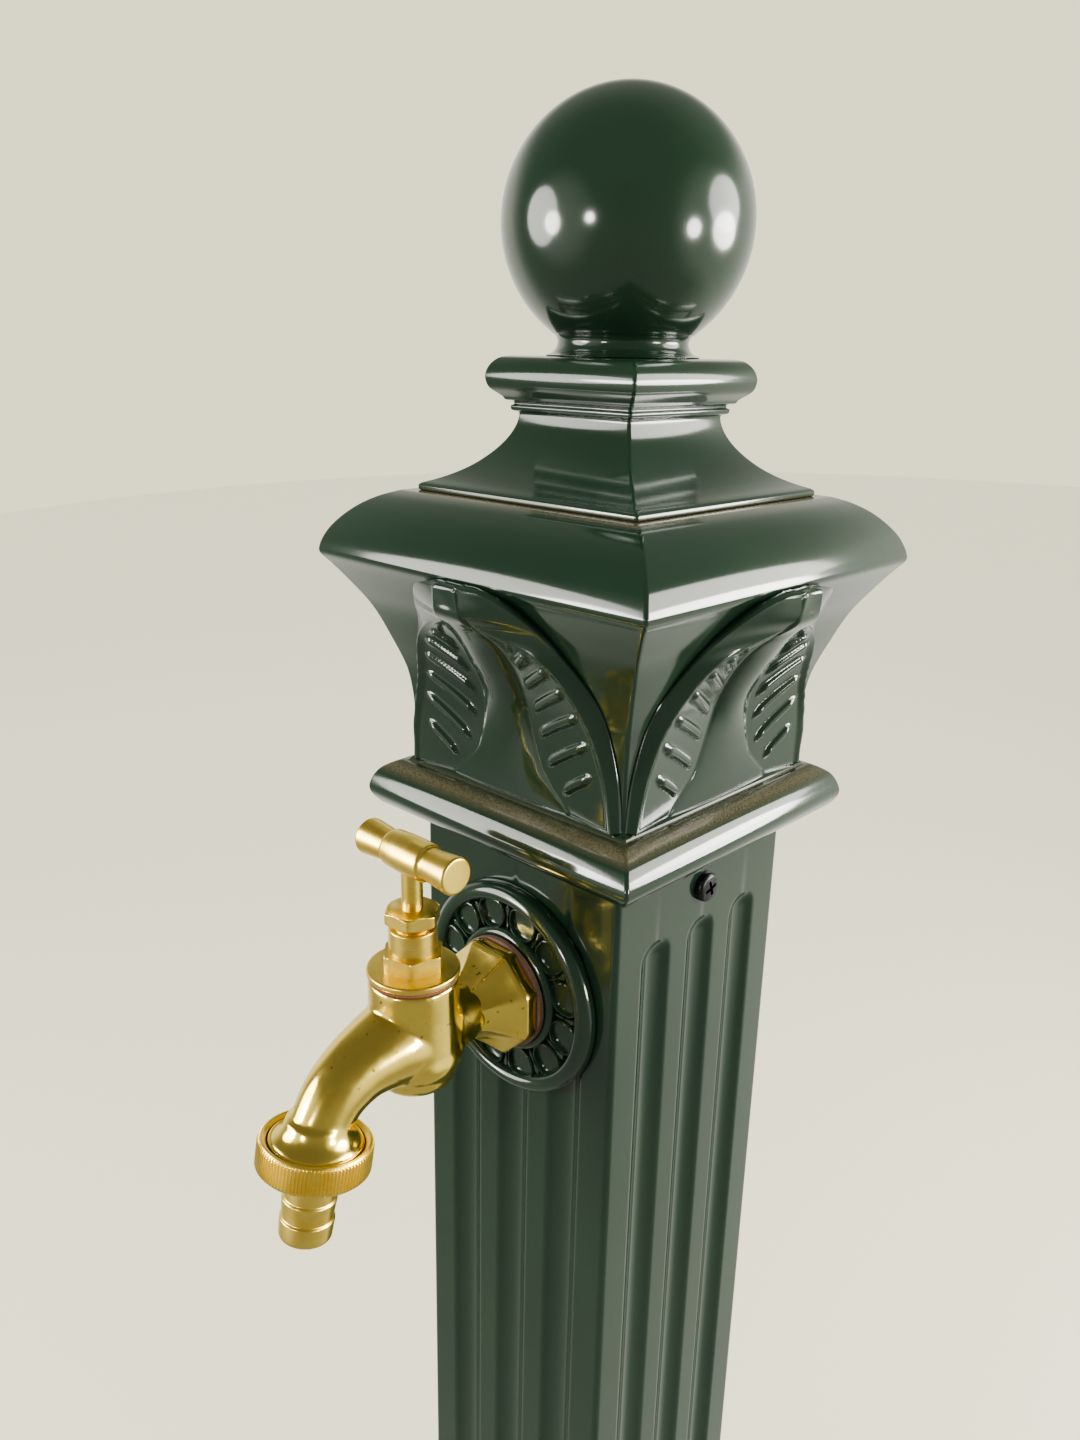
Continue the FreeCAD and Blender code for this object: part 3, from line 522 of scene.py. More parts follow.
SLOT_FINISH = {
    "green_casting": GREEN, "black_screw": BLACK, "polished_brass": CAST_BRASS, "turned_brass": STEM_BRASS,
    "zinc_steel": ZINC, "grey_iron": IRON, "fibre_washer": FIBRE, "graphite_packing": RUBBER,
    "rubber_seal": RUBBER,
}


def dress_frame():
    """Give every carried-over CAD node its finish."""
    for subpart in frame["record"]["subparts"]:
        item = frame["nodes"][subpart["node"]]
        for slot in item.material_slots:
            slot.material = SLOT_FINISH[subpart["material_slot"]]


dress_frame()
LEATHER = plain_metal("leather_washer", (0.16, 0.10, 0.075), 0.7, metallic=0.0, grain=900.0)
frame["nodes"]["wall_washer"].material_slots[0].material = LEATHER

# ---------------------------------------------------------------- pedestal


def column():
    """Square shaft with three flutes a side; each flute runs out in a round end."""
    wall, corner = 6.0, 1.8
    pitch, half_width, depth = 21.7, 6.5, 2.6
    radius = (half_width ** 2 + depth ** 2) / 2 / depth
    margin = 19.5
    foot = BASE_TOP + margin + half_width
    top = COLUMN_TOP - margin - half_width
    low = lowest("column")
    ends = [half_width * math.sin(math.radians(90 * step / 9)) for step in range(10)]
    levels = [low] + [foot - reach for reach in reversed(ends)] + [top + reach for reach in ends]
    levels.append(COLUMN_TOP)
    across = 156

    def sunk(along, beyond):
        lane = along - pitch * round(along / pitch)
        room = radius ** 2 - lane ** 2 - beyond ** 2
        if abs(along) > 1.5 * pitch or room <= 0:
            return 0.0
        return max(math.sqrt(room) - (radius - depth), 0.0)

    def side_points(level):
        """The face's hollows at a height, their lips eased over about a millimetre."""
        beyond = min(max(foot - level, level - top, 0.0), half_width)
        reach = COLUMN_HALF - corner
        points = []
        for step in range(across + 1):
            along = reach * (2 * step / across - 1)
            near = [sunk(along + shift * 0.22, beyond) for shift in range(-3, 4)]
            points.append((along, sum(near) / len(near)))
        return points

    rings = []
    for level in levels:
        ring = []
        for quarter in range(4):
            turn = Matrix.Rotation(TURN * quarter / 4, 3, "Z")
            for along, inward in side_points(level):
                ring.append(turn @ Vector((along, inward - COLUMN_HALF, level)))
            centre = Vector((COLUMN_HALF - corner, corner - COLUMN_HALF, level))
            for step in range(4):
                angle = math.radians(-90 + 90 * (step + 0.5) / 4)
                ring.append(turn @ (centre + Vector((math.cos(angle), math.sin(angle), 0)) * corner))
        rings.append(ring)
    made = bmesh.new()
    outer = add_rings(made, rings, (False, False))
    inside = COLUMN_HALF - wall
    count = len(rings[0])

    def inner_ring(level):
        ring = []
        for point in rings[0]:
            reach = max(abs(point.x), abs(point.y))
            ring.append(Vector((point.x * inside / reach, point.y * inside / reach, level)))
        return [made.verts.new(point) for point in ring]

    lower, upper = inner_ring(low), inner_ring(COLUMN_TOP)
    for index in range(count):
        beside = (index + 1) % count
        made.faces.new((lower[beside], lower[index], upper[index], upper[beside]))
        made.faces.new((outer[0][beside], outer[0][index], lower[index], lower[beside]))
        made.faces.new((outer[-1][index], outer[-1][beside], upper[beside], upper[index]))
    piece = finish_mesh("fluted_column", made, GREEN, 40.0)
    return stands_for(piece, "fountain", "green_casting", "column")


def base_plinth():
    """Stepped foot with a well that holds the column."""
    collar, socket, well, seat, slab = COLUMN_HALF + 7, COLUMN_HALF + 0.3, 34, 14, 15
    outline = [
        (socket, BASE_TOP - 4, 0), (socket, seat, 0), (well, seat, 0), (well, 0.4, 0),
        (well + 0.4, 0, 0), (BASE_HALF, 0, 0), (BASE_HALF, slab - 4, 0), (BASE_HALF - 4, slab, 0.7072),
        (collar + 11, slab, 0), (collar + 13, slab + 2, 0.8), (collar + 13, 22, 0.52), (collar + 10, 24, 0),
        (collar + 9, 24, 0), (collar + 1, BASE_TOP - 15, -0.82), (collar, BASE_TOP - 13, 0),
        (collar, BASE_TOP - 3, 0), (collar - 3, BASE_TOP, 0.7072), (socket + 0.3, BASE_TOP, 0),
        (socket, BASE_TOP - 1, 0),
    ]
    made = bmesh.new()
    rings = [square(point.x, point.y, 1.6 if point.x < BASE_HALF - 6 else 4.0)
             for point in softened(outline, 0.5)]
    add_rings(made, rings, loop=True)
    piece = finish_mesh("base_casting", made, GREEN)
    return stands_for(piece, "fountain", "green_casting", "base_plinth")


def cap_pedestal():
    """Moulded square block under the ball: a sweep, two fillets and a roll."""
    half = highest("cap_pedestal", 0)
    sweep = through([(half - 0.8, 2.2), (half - 4.2, 3.5), (half - 7.8, 5.3), (half - 11.4, 7.7),
                     (half - 14.5, 10.5), (half - 17.0, 13.4), (half - 18.8, 16.2), (half - 20.0, 19.0),
                     (half - 20.6, 21.6)])
    outline = [(0, 0, 0), (half - 0.4, 0, 0), (half, 0.4, 0), (half, 1.6, 0)] + sweep + [
        (half - 20.5, 22.4, 0), (half - 18.9, 22.9, 0), (half - 18.7, 24.2, 0), (half - 19.6, 24.5, 0),
        (half - 19.4, 25.4, 0), (half - 17.6, 25.7, 0), (half - 17.2, 26.6, 0)] + through([
            (half - 16.0, 27.6), (half - 14.4, 29.0), (half - 13.7, 31.0), (half - 13.7, 33.0),
            (half - 14.6, 35.3), (half - 16.4, 37.1), (half - 18.8, 37.7)]) + [(0, 37.7, 0)]
    made = bmesh.new()
    add_square_moulding(made, [point + Vector((0, CAPITAL_TOP)) for point in softened(outline, 0.25)], 0.9)
    piece = finish_mesh("pedestal_casting", made, GREEN, 60.0)
    return stands_for(piece, "fountain", "green_casting", "cap_pedestal")


def finial_ball():
    """Ball on its flared neck; join is the angle on the ball where the neck ends."""
    radius = (BALL_TOP - PEDESTAL_TOP) / 2
    join = math.radians(-55.2)
    outline = [(0, 0, 0), (21.2, 0, 0), (21.8, 0.4, 0.9), (18.4, 3.4, -0.78),
               (radius * math.cos(join) + 0.3, radius + radius * math.sin(join), -0.72)]
    neck = softened(outline, 0.2)
    ball = []
    for step in range(1, 49):
        angle = join + (math.pi / 2 - join) * step / 48
        ball.append(Vector((radius * math.cos(angle), radius + radius * math.sin(angle))))
    made = bmesh.new()
    add_turned(made, [point + Vector((0, PEDESTAL_TOP)) for point in neck + ball], 128)
    piece = finish_mesh("ball_casting", made, GREEN, 60.0)
    return stands_for(piece, "fountain", "green_casting", "finial_ball")


# ---------------------------------------------------------------- capital with its leaves


def eased(pairs, at):
    """Smooth curve through (position, value) pairs, in order of position."""
    if at <= pairs[0][0]:
        return pairs[0][1]
    for index in range(len(pairs) - 1):
        (x0, y0), (x1, y1) = pairs[index], pairs[index + 1]
        if at <= x1:
            before = pairs[index - 1] if index else pairs[index]
            after = pairs[index + 2] if index + 2 < len(pairs) else pairs[index + 1]
            slope0 = (y1 - before[1]) / (x1 - before[0])
            slope1 = (after[1] - y0) / (after[0] - x0)
            span = x1 - x0
            part = (at - x0) / span
            return (y0 * (1 + 2 * part) * (1 - part) ** 2 + slope0 * span * part * (1 - part) ** 2
                    + y1 * part ** 2 * (3 - 2 * part) - slope1 * span * part ** 2 * (1 - part))
    return pairs[-1][1]


# Each list runs up one face as (height above the column's top, value). GROUND is how far the hollow
# stands out past the column. The edges are distances from the face's middle: the leaf's outline, its
# rim's inner edge, and both sides of the sunk field beside the midrib. The rises are heights above the
# hollow. RIBS gives each slat's two ends, as (distance from the middle, height).
GROUND = [(21.8, 2.4), (25.8, 2.4), (34, 2.6), (42, 3.1), (49.8, 4.3), (59, 7.4), (68.7, 11.3),
          (75.7, 15.6), (81.4, 19.6), (84.2, 21.9)]
LEAF_EDGE = [(20, 42), (34, 41), (43, 39.2), (50, 37.4), (57, 35.3), (63.5, 31.6), (69, 27.6),
             (74, 24.4), (78, 21.0), (81.5, 17.0), (83.6, 12.6), (84.9, 6.6)]
BAND_EDGE = [(20, 40.2), (34, 38.7), (43, 36.2), (51, 33.2), (58, 30.2), (64, 26.6), (67.5, 22.4),
             (70, 17.6), (72.2, 11.5), (74.4, 6.4), (78, 5.0), (84.9, 4.4)]
FIELD_OUTER = [(20, 38.2), (34, 36.2), (43, 33.6), (51, 30.6), (58, 27.6), (64, 23.6), (68, 18.0),
               (70.6, 12.0), (73, 6.0), (84.9, 3.9)]
FIELD_INNER = [(20, 24.0), (23.5, 21.0), (26, 18.0), (31, 13.0), (36, 10.8), (42, 9.0), (50, 8.0), (56, 8.3),
               (61, 8.6), (66, 8.2), (70, 7.4), (73, 5.4), (84.9, 3.6)]
SPINE_RISE = [(20, 1.6), (30, 1.7), (39, 2.0), (47, 2.8), (54, 4.0), (60, 5.4), (67, 7.2), (73, 9.2),
              (77, 10.6), (80, 8.8), (84.9, 5.4)]
INNER_RISE = [(20, 0.5), (39, 0.6), (47, 0.7), (54, 1.1), (60, 2.2), (66, 4.0), (71, 6.4), (76, 10.0),
              (80, 8.6), (84.9, 5.3)]
OUTER_RISE = [(20, 1.6), (38, 2.7), (55, 3.2), (61, 3.7), (66, 4.6), (71, 6.2), (76, 9.2), (80, 8.1),
              (84.9, 5.1)]
BAND_RISE = [(20, 2.6), (38, 3.8), (55, 4.4), (64, 5.0), (70, 6.2), (74, 8.2), (78, 9.6), (84.9, 5.0)]
EDGE_RISE = [(20, 0.1), (57, 0.4), (66, 1.2), (74, 2.3), (79, 3.2), (84.9, 4.4)]
RIBS = [((19.5, 25.7), (33.5, 31.0)), ((12.2, 31.4), (34.0, 40.6)), ((9.0, 39.4), (32.6, 48.4)),
        ((8.2, 46.7), (30.6, 55.6)), ((8.1, 54.0), (27.8, 61.4)), ((9.0, 61.0), (24.4, 66.0)),
        ((11.4, 66.9), (19.6, 69.6))]


def rib_height(across, up):
    """Raised slats that run from beside the midrib outward and upward across the sunk field."""
    best = 0.0
    for (near, low), (far, high) in RIBS:
        part = (across - near) / (far - near)
        if not 0.16 < part < 0.97:
            continue
        centre = low + (high - low) * (part + 0.35 * part * (1 - part)) + 1.2 + 4.2 * (part - 0.2)
        blunt = min(1.0, ((part - 0.16) / 0.09) ** 0.5, (0.97 - part) / 0.2)
        offset = abs(up - centre) / (1.8 * (0.35 + 0.65 * blunt))
        if offset < 1:
            best = max(best, blunt * (1 - offset ** 2) ** 0.75)
    return 1.35 * best


def leaf_out(across, up):
    """How far the leaf stands out from the capital's axis at a place on one face."""
    across = abs(across)
    inner, outer = eased(FIELD_INNER, up), eased(FIELD_OUTER, up)
    spine = eased(SPINE_RISE, up)
    foot = eased(INNER_RISE, up)
    if across < inner:
        part = across / inner
        rise = foot + 0.35 + (spine - foot - 0.35) * math.cos(part * math.pi / 2) ** 0.7
    else:
        steps = [(inner, foot + 0.35), (inner + 0.7, foot), (outer, eased(OUTER_RISE, up)),
                 (eased(BAND_EDGE, up), eased(BAND_RISE, up)), (eased(LEAF_EDGE, up), eased(EDGE_RISE, up))]
        rise = steps[-1][1]
        for (near, first), (far, second) in zip(steps, steps[1:]):
            if across <= far:
                rise = first + (second - first) * (across - near) / max(far - near, 0.05)
                break
        room = min(max((outer + 0.6 - across) / 3.0, 0.0), max((across - inner) / 2.0, 0.0), 1.0)
        rise += rib_height(across, up) * room
    return COLUMN_HALF + eased(GROUND, up) + rise


def capital_outline():
    """From the column's top: the ring moulding, the long hollow and the hood."""
    half, ring = 62.2, COLUMN_HALF
    hollow = [(ring + eased(GROUND, up), up, 0) for up in [21.8 + 62.0 * step / 40 for step in range(41)]]
    return ([(0, 0.2, 0), (ring + 2.6, 0.2, 0), (ring + 3.05, 0.6, 0)]
            + through([(ring + 10.6, 5.5), (ring + 12.0, 7.2), (ring + 12.9, 8.8), (ring + 13.2, 10.3),
                       (ring + 13.0, 11.8), (ring + 12.1, 14.3), (ring + 10.6, 16.6), (ring + 8.1, 18.4),
                       (ring + 5.9, 19.5)])
            + [(ring + 4.3, 19.5, 0), (ring + 3.9, 20.3, 0), (ring + 3.0, 21.0, 0)] + hollow
            + [(half - 0.15, 84.6, 0)]
            + through([(half, 85.6), (half - 0.7, 88.3), (half - 2.2, 91.5), (half - 4.2, 94.3),
                       (half - 6.6, 96.9), (half - 9.6, 99.4), (half - 13.4, 101.6), (half - 17.5, 103.1)])
            + [(0, 103.1, 0)])


def capital():
    made = bmesh.new()
    outline = [point + Vector((0, COLUMN_TOP)) for point in softened(capital_outline(), 0.3)]
    add_square_moulding(made, outline, 1.0)
    piece = finish_mesh("capital_casting", made, GREEN, 60.0)
    return stands_for(piece, "fountain", "green_casting", "capital")


def leaf_mesh():
    """One leaf, facing -Y: its front is the relief, its back lies inside the capital."""
    low, high, rows, count = 21.0, 84.9, 128, 148
    made = bmesh.new()
    front = []
    for row in range(rows + 1):
        up = low + (high - low) * row / rows
        reach = min(eased(LEAF_EDGE, up), COLUMN_HALF + eased(GROUND, up) - 0.3)
        line = [reach * (2 * step / count - 1) for step in range(count + 1)]
        front.append([made.verts.new((across, -leaf_out(across, up), COLUMN_TOP + up)) for across in line])
    for row in range(rows):
        for step in range(count):
            made.faces.new((front[row][step], front[row][step + 1], front[row + 1][step + 1],
                            front[row + 1][step]))
    rim = front[0][:-1] + [line[-1] for line in front[:-1]]
    rim += list(reversed(front[-1]))[:-1] + [line[0] for line in reversed(front[1:])]
    sunk = []
    for point in rim:
        depth = COLUMN_HALF + eased(GROUND, point.co.z - COLUMN_TOP) - 1.6
        sunk.append(made.verts.new((point.co.x * 0.97, -depth, point.co.z)))
    heart = made.verts.new((0, -COLUMN_HALF, COLUMN_TOP + 50))
    for index in range(len(rim)):
        beside = (index + 1) % len(rim)
        made.faces.new((rim[index], sunk[index], sunk[beside], rim[beside]))
        made.faces.new((sunk[index], heart, sunk[beside]))
    return made


def capital_leaves():
    leaves = repeated("capital_leaves", leaf_mesh(), 4, GREEN, sharp=180.0)
    return stands_for(leaves, "fountain", "green_casting")


# ---------------------------------------------------------------- plate behind the tap

TO_FRONT = Matrix.Rotation(math.pi / 2, 4, "X")


def wall_place(along_y):
    """Pieces turned about Z are laid down to face -Y, their zero at the given depth."""
    return Matrix.Translation((0, along_y, TAP_Z)) @ TO_FRONT


def rosette():
    outer, rise, hole = 34.0, 5.2, 10.6
    outline = [
        (hole, 0, 0), (outer - 0.6, 0, 0), (outer, 1.4, 0.75), (outer - 3, rise, 0.72),
        (outer - 5.6, rise - 2.2, 0.66), (outer - 6.4, 2.0, 0), (outer - 7.2, 1.5, 0), (20.4, 1.5, 0),
        (19.8, 2.6, 0), (19.0, rise - 0.7, 0.85), (17.4, rise - 0.5, 0.8), (16.6, rise - 1.6, 0),
        (hole, rise - 1.6, 0), (hole, 0, 0),
    ]
    made = bmesh.new()
    add_turned(made, softened(outline, 0.2), 160, loop=True)
    plate = finish_mesh("rosette_plate", made, GREEN, 50.0, wall_place(-COLUMN_HALF))
    stands_for(plate, "fountain", "green_casting", "rosette")
    petals = repeated("rosette_petals", petal_mesh(), 12, GREEN, wall_place(-COLUMN_HALF), 60.0)
    return stands_for(petals, "fountain", "green_casting")


def add_mound(made, outline, base, top, bevel):
    """A low raised shape: outline at the base, eased in to a flat or crowned top."""
    centre = sum(outline, Vector((0, 0))) / len(outline)
    rings = []
    for part in (0.0, 0.35, 0.7, 0.9, 1.0):
        inset = bevel * (1 - math.sqrt(max(1 - part ** 2, 0)))
        ring = []
        for point in outline:
            away = point - centre
            ring.append(Vector((*(centre + away * max(1 - inset / away.length, 0.1)),
                                base + (top - base) * math.sin(part * math.pi / 2))))
        rings.append(ring)
    add_rings(made, rings)


def egg(centre, half_across, half_along, taper=0.12, count=32):
    points = []
    for step in range(count):
        angle = TURN * step / count
        along = half_along * math.copysign(abs(math.sin(angle)) ** 0.75, math.sin(angle))
        across = half_across * math.copysign(abs(math.cos(angle)) ** 0.75, math.cos(angle))
        points.append(Vector((across * (1 + taper * along / half_along), centre + along)))
    return points


def petal_mesh():
    """One of the plate's petals with its raised rim, and the dart beside it."""
    made = bmesh.new()
    sizes = ((5.3, 4.9, 1.2), (5.3, 4.9, 2.9), (5.1, 4.7, 3.7), (4.75, 4.35, 3.8), (4.45, 4.05, 3.2),
             (4.3, 3.9, 2.4), (3.6, 3.2, 2.3), (1.2, 1.0, 2.35))
    add_rings(made, [[Vector((point.x, point.y, up)) for point in egg(24.2, across, along, 0.16)]
                     for across, along, up in sizes])
    dart = [Vector((0.0, 19.6)), Vector((0.45, 21.0)), Vector((0.4, 24.4)), Vector((0.95, 27.2)),
            Vector((0.0, 28.2)), Vector((-0.95, 27.2)), Vector((-0.4, 24.4)), Vector((-0.45, 21.0))]
    swing = Matrix.Rotation(math.radians(15), 2)
    add_mound(made, [swing @ point for point in dart], 1.2, 3.3, 0.5)
    turn = Matrix.Rotation(math.radians(15), 4, "Z")
    bmesh.ops.transform(made, matrix=turn, verts=made.verts)
    return made


# ---------------------------------------------------------------- tap


def stem_place(up):
    return Matrix.Translation((0, STEM_Y, up))


def outlet_place(distance=0.0):
    """+Z of the piece points back up the spout; distance is measured down from the nut's top."""
    lean = Matrix.Rotation(-OUTLET_TILT, 4, "X")
    return Matrix.Translation(OUTLET) @ lean @ Matrix.Translation((0, 0, -distance))


def swept(made, stations, per_span=7, count=48):
    """A tube of changing radius in the plane x = 0 through stations (y, z, radius)."""
    fine = curved(stations, per_span)
    rings = []
    for index, (y, z, radius) in enumerate(fine):
        ahead, behind = fine[min(index + 1, len(fine) - 1)], fine[max(index - 1, 0)]
        along = Vector((0, ahead.x - behind.x, ahead.y - behind.y)).normalized()
        upward = Vector((1, 0, 0)).cross(along)
        rings.append([Vector((0, y, z)) + radius * (math.cos(TURN * step / count) * Vector((1, 0, 0))
                                                    + math.sin(TURN * step / count) * upward)
                      for step in range(count)])
    add_rings(made, rings)


def tap_casting():
    """Valve chamber, neck and spout, run together with the soft joins of a casting."""
    made = bmesh.new()
    barrel = softened([(0, -16.2, 0), (7.4, -14.4, 0.9), (12.2, -8.6, 0.8), (13.3, -1.5, 1.0),
                       (12.9, 10, 0), (12.8, 19.2, 0), (12.1, 20.1, 0.7), (0, 20.1, 0)], 0.3)
    start = len(made.verts)
    add_turned(made, barrel, 64)
    bmesh.ops.translate(made, vec=(0, STEM_Y, TAP_Z), verts=list(made.verts)[start:])
    start = len(made.verts)
    add_turned(made, [Vector(point[:2]) for point in [(0, -2.4, 0), (12.6, -2.4, 0)] + through([
        (12.6, -0.9), (12.1, 0.0), (11.0, 0.9), (9.9, 2.1), (9.1, 3.8), (8.7, 5.6)]) + [(0, 6.2, 0)]], 96)
    bmesh.ops.transform(made, matrix=outlet_place(), verts=list(made.verts)[start:])
    tilt = Vector((0, -math.sin(OUTLET_TILT), -math.cos(OUTLET_TILT)))
    mouth = Vector(OUTLET)
    swept(made, [
        (STEM_Y - 2, TAP_Z + 1.5, 12.6), (STEM_Y - 8, TAP_Z + 1.9, 12.2), (STEM_Y - 14.3, TAP_Z + 1.2, 11.0),
        (STEM_Y - 20.8, TAP_Z - 0.4, 9.8), (STEM_Y - 27.3, TAP_Z - 4.2, 9.0),
        (STEM_Y - 31.9, TAP_Z - 9.6, 8.5), (mouth.y - tilt.y * 1.5, mouth.z - tilt.z * 1.5, 8.2),
        (mouth.y + tilt.y * 2, mouth.z + tilt.z * 2, 8.2)])
    neck_start = -COLUMN_HALF - 12
    swept(made, [(neck_start, TAP_Z, 7.4), (neck_start - 4, TAP_Z, 7.7), (neck_start - 9, TAP_Z, 8.4),
                 (STEM_Y + 12, TAP_Z - 0.4, 9.6), (STEM_Y + 4, TAP_Z - 0.8, 11.0)])
    piece = finish_mesh("tap_casting", made, CAST_BRASS, 180.0)
    applied(piece, ("REMESH", {"mode": "VOXEL", "voxel_size": 0.55 * MM}),
            ("SMOOTH", {"factor": 0.5, "iterations": 14}))
    seat, seat_radius, chamber_radius, bore = 7.8, 4.5, 9.5, 5.0
    drilled_out(piece, ((0, 0), (seat_radius, 0), (seat_radius, seat), (chamber_radius, seat),
                        (chamber_radius, 23), (0, 23)), stem_place(TAP_Z))
    drilled_out(piece, ((0, -5), (bore, -5), (bore, 9), (0, 9)), outlet_place())
    piece.data.shade_smooth()
    return stands_for(piece, "fountain", "polished_brass", "tap_body")


def tap_flange():
    """Eight-sided wrench flange: flats at the back, scooped between its corners in front."""
    plate, washer = 5.2, 1.6
    flats, thick, run, neck = 33.0, 4.6, 11.5, 7.4
    count = 8 * 16
    rings = []
    corner_radius = flats / 2 / math.cos(math.pi / 8)

    def octagon(angle):
        local = (angle + math.pi / 8) % (math.pi / 4) - math.pi / 8
        return flats / 2 / math.cos(local), abs(local) / (math.pi / 8)

    levels = [(0.0, -0.6), (0.6, 0.0), (thick - 0.35, 0.0), (thick, -0.25)]
    for level, inset in levels:
        ring = []
        for step in range(count):
            angle = TURN * step / count
            radius = min(octagon(angle)[0] + inset, corner_radius - 0.25 + inset * 0.5)
            ring.append(Vector((radius * math.cos(angle), radius * math.sin(angle), level)))
        rings.append(ring)
    for number in range(1, 17):
        part = number / 16
        ring = []
        for step in range(count):
            angle = TURN * step / count
            radius, toward = octagon(angle)
            radius = min(radius, corner_radius - 0.25) - 0.25
            power = 1.62 - 0.42 * toward ** 2
            ring.append(Vector((*(Vector((math.cos(angle), math.sin(angle)))
                                  * (neck + (radius - neck) * (1 - part) ** power)), thick + run * part)))
        rings.append(ring)
    made = bmesh.new()
    add_rings(made, rings)
    piece = finish_mesh("tap_flange", made, CAST_BRASS, 50.0, wall_place(0.1 - COLUMN_HALF - plate - washer))
    return stands_for(piece, "fountain", "polished_brass")


def tap_mouth():
    """Threaded rim of the spout's end; the ring nut turns on it."""
    outline = [(5.2, -3.2, 0), (12.9, -3.2, 0), (12.9, -0.7, 0), (12.5, -0.4, 0), (5.2, -0.4, 0),
               (5.2, -3.2, 0)]
    made = bmesh.new()
    add_turned(made, softened(outline, 0.12), 96, loop=True)
    piece = finish_mesh("tap_mouth", made, CAST_BRASS, 50.0, outlet_place())
    return stands_for(piece, "fountain", "polished_brass")


def bonnet():
    """The tap's cap: disc, neck and thread in one turning, with a hexagon over the disc."""
    outline = [
        (10.2, -9.0, 0), (10.2, -0.3, 0), (12.8, 0.0, 0), (13.1, 0.5, 0.8), (13.1, 1.2, 0), (12.5, 1.9, 0.7),
        (8.4, 1.9, 0), (6.75, 1.95, 0), (6.75, 13.8, 0), (6.35, 14.2, 0), (4.9, 14.2, 0), (4.9, 8.2, 0),
        (3.05, 8.2, 0), (3.05, 5.2, 0), (5.3, 5.2, 0), (5.3, -4.8, 0), (7.8, -4.8, 0), (7.8, -9.0, 0),
        (10.2, -9.0, 0),
    ]
    made = bmesh.new()
    add_turned(made, softened(outline, 0.12), 96, loop=True)
    turned = finish_mesh("bonnet_turning", made, STEM_BRASS, 50.0, stem_place(CAP_SEAT))
    stands_for(turned, "fountain", "turned_brass", "bonnet")
    made = bmesh.new()
    add_hexagon(made, flats=15.7, low=1.8, high=6.9, top_cut=0.7, foot_cut=0.0, vertex=-44)
    piece = finish_mesh("bonnet_hexagon", made, STEM_BRASS, 30.0, stem_place(CAP_SEAT))
    return stands_for(piece, "fountain", "turned_brass")


def gland_nut():
    """Hexagon over a collar that reaches down into the bonnet."""
    thick = 3.6
    made = bmesh.new()
    add_hexagon(made, flats=14.0, low=0.0, high=thick, top_cut=1.1, foot_cut=0.5, vertex=-52)
    seat = highest("gland_nut") - thick
    head = finish_mesh("gland_hexagon", made, STEM_BRASS, 30.0, stem_place(seat))
    stands_for(head, "fountain", "turned_brass", "gland_nut")
    made = bmesh.new()
    add_turned(made, softened([(3.05, -4.0, 0), (4.85, -4.0, 0), (4.85, -1.1, 0), (6.2, -0.9, 0),
                               (6.2, 0.1, 0), (3.05, 0.1, 0), (3.05, -4.0, 0)], 0.12), 64, loop=True)
    piece = finish_mesh("gland_spigot", made, STEM_BRASS, 50.0, stem_place(seat))
    return stands_for(piece, "fountain", "turned_brass")


def tee_handle():
    """Cross bar, waisted on both sides of its middle."""
    half, radius, waist = 18.3, 5.4, 4.45
    outline = [
        (0, -half, 0), (radius - 0.9, -half, 0), (radius - 0.15, 0.85 - half, 0.75), (waist, -8.5, 0),
        (radius - 0.2, -7.3, -0.8), (radius - 0.1, 7.3, 6.0), (waist, 8.5, -0.8),
        (radius - 0.15, half - 0.85, 0), (radius - 0.9, half, 0.75), (0, half, 0),
    ]
    made = bmesh.new()
    add_turned(made, softened(outline, 0.3), 72)
    place = Matrix.Translation((0, STEM_Y, HANDLE_Z)) @ Matrix.Rotation(math.pi / 2, 4, "Y")
    piece = finish_mesh("handle_bar", made, BAR_BRASS, 60.0, place)
    return stands_for(piece, "spindle", "turned_brass", "tee_handle")


def hose_tail():
    """Barbed spigot under the flange that the ring nut holds."""
    length, bore, radius = 24.8, 5.2, 7.6
    outline = [(bore, -length, 0), (radius - 1.1, -length, 0), (radius - 0.25, 1.5 - length, 0.9)]
    for barb in (1, 2, 3):
        outline.append((radius, 6.0 * barb - length, 0))
        outline.append((radius - 0.55, 6.0 * barb + 0.5 - length, 0))
    outline += [(radius - 0.55, -1.5, 0), (12.2, -1.5, 0), (12.2, 0, 0), (bore, 0, 0), (bore, -length, 0)]
    made = bmesh.new()
    add_turned(made, softened(outline, 0.15), 96, loop=True)
    piece = finish_mesh("tail_turning", made, STEM_BRASS, 50.0, outlet_place(4.7))
    return stands_for(piece, "tail", "turned_brass", "hose_tail")


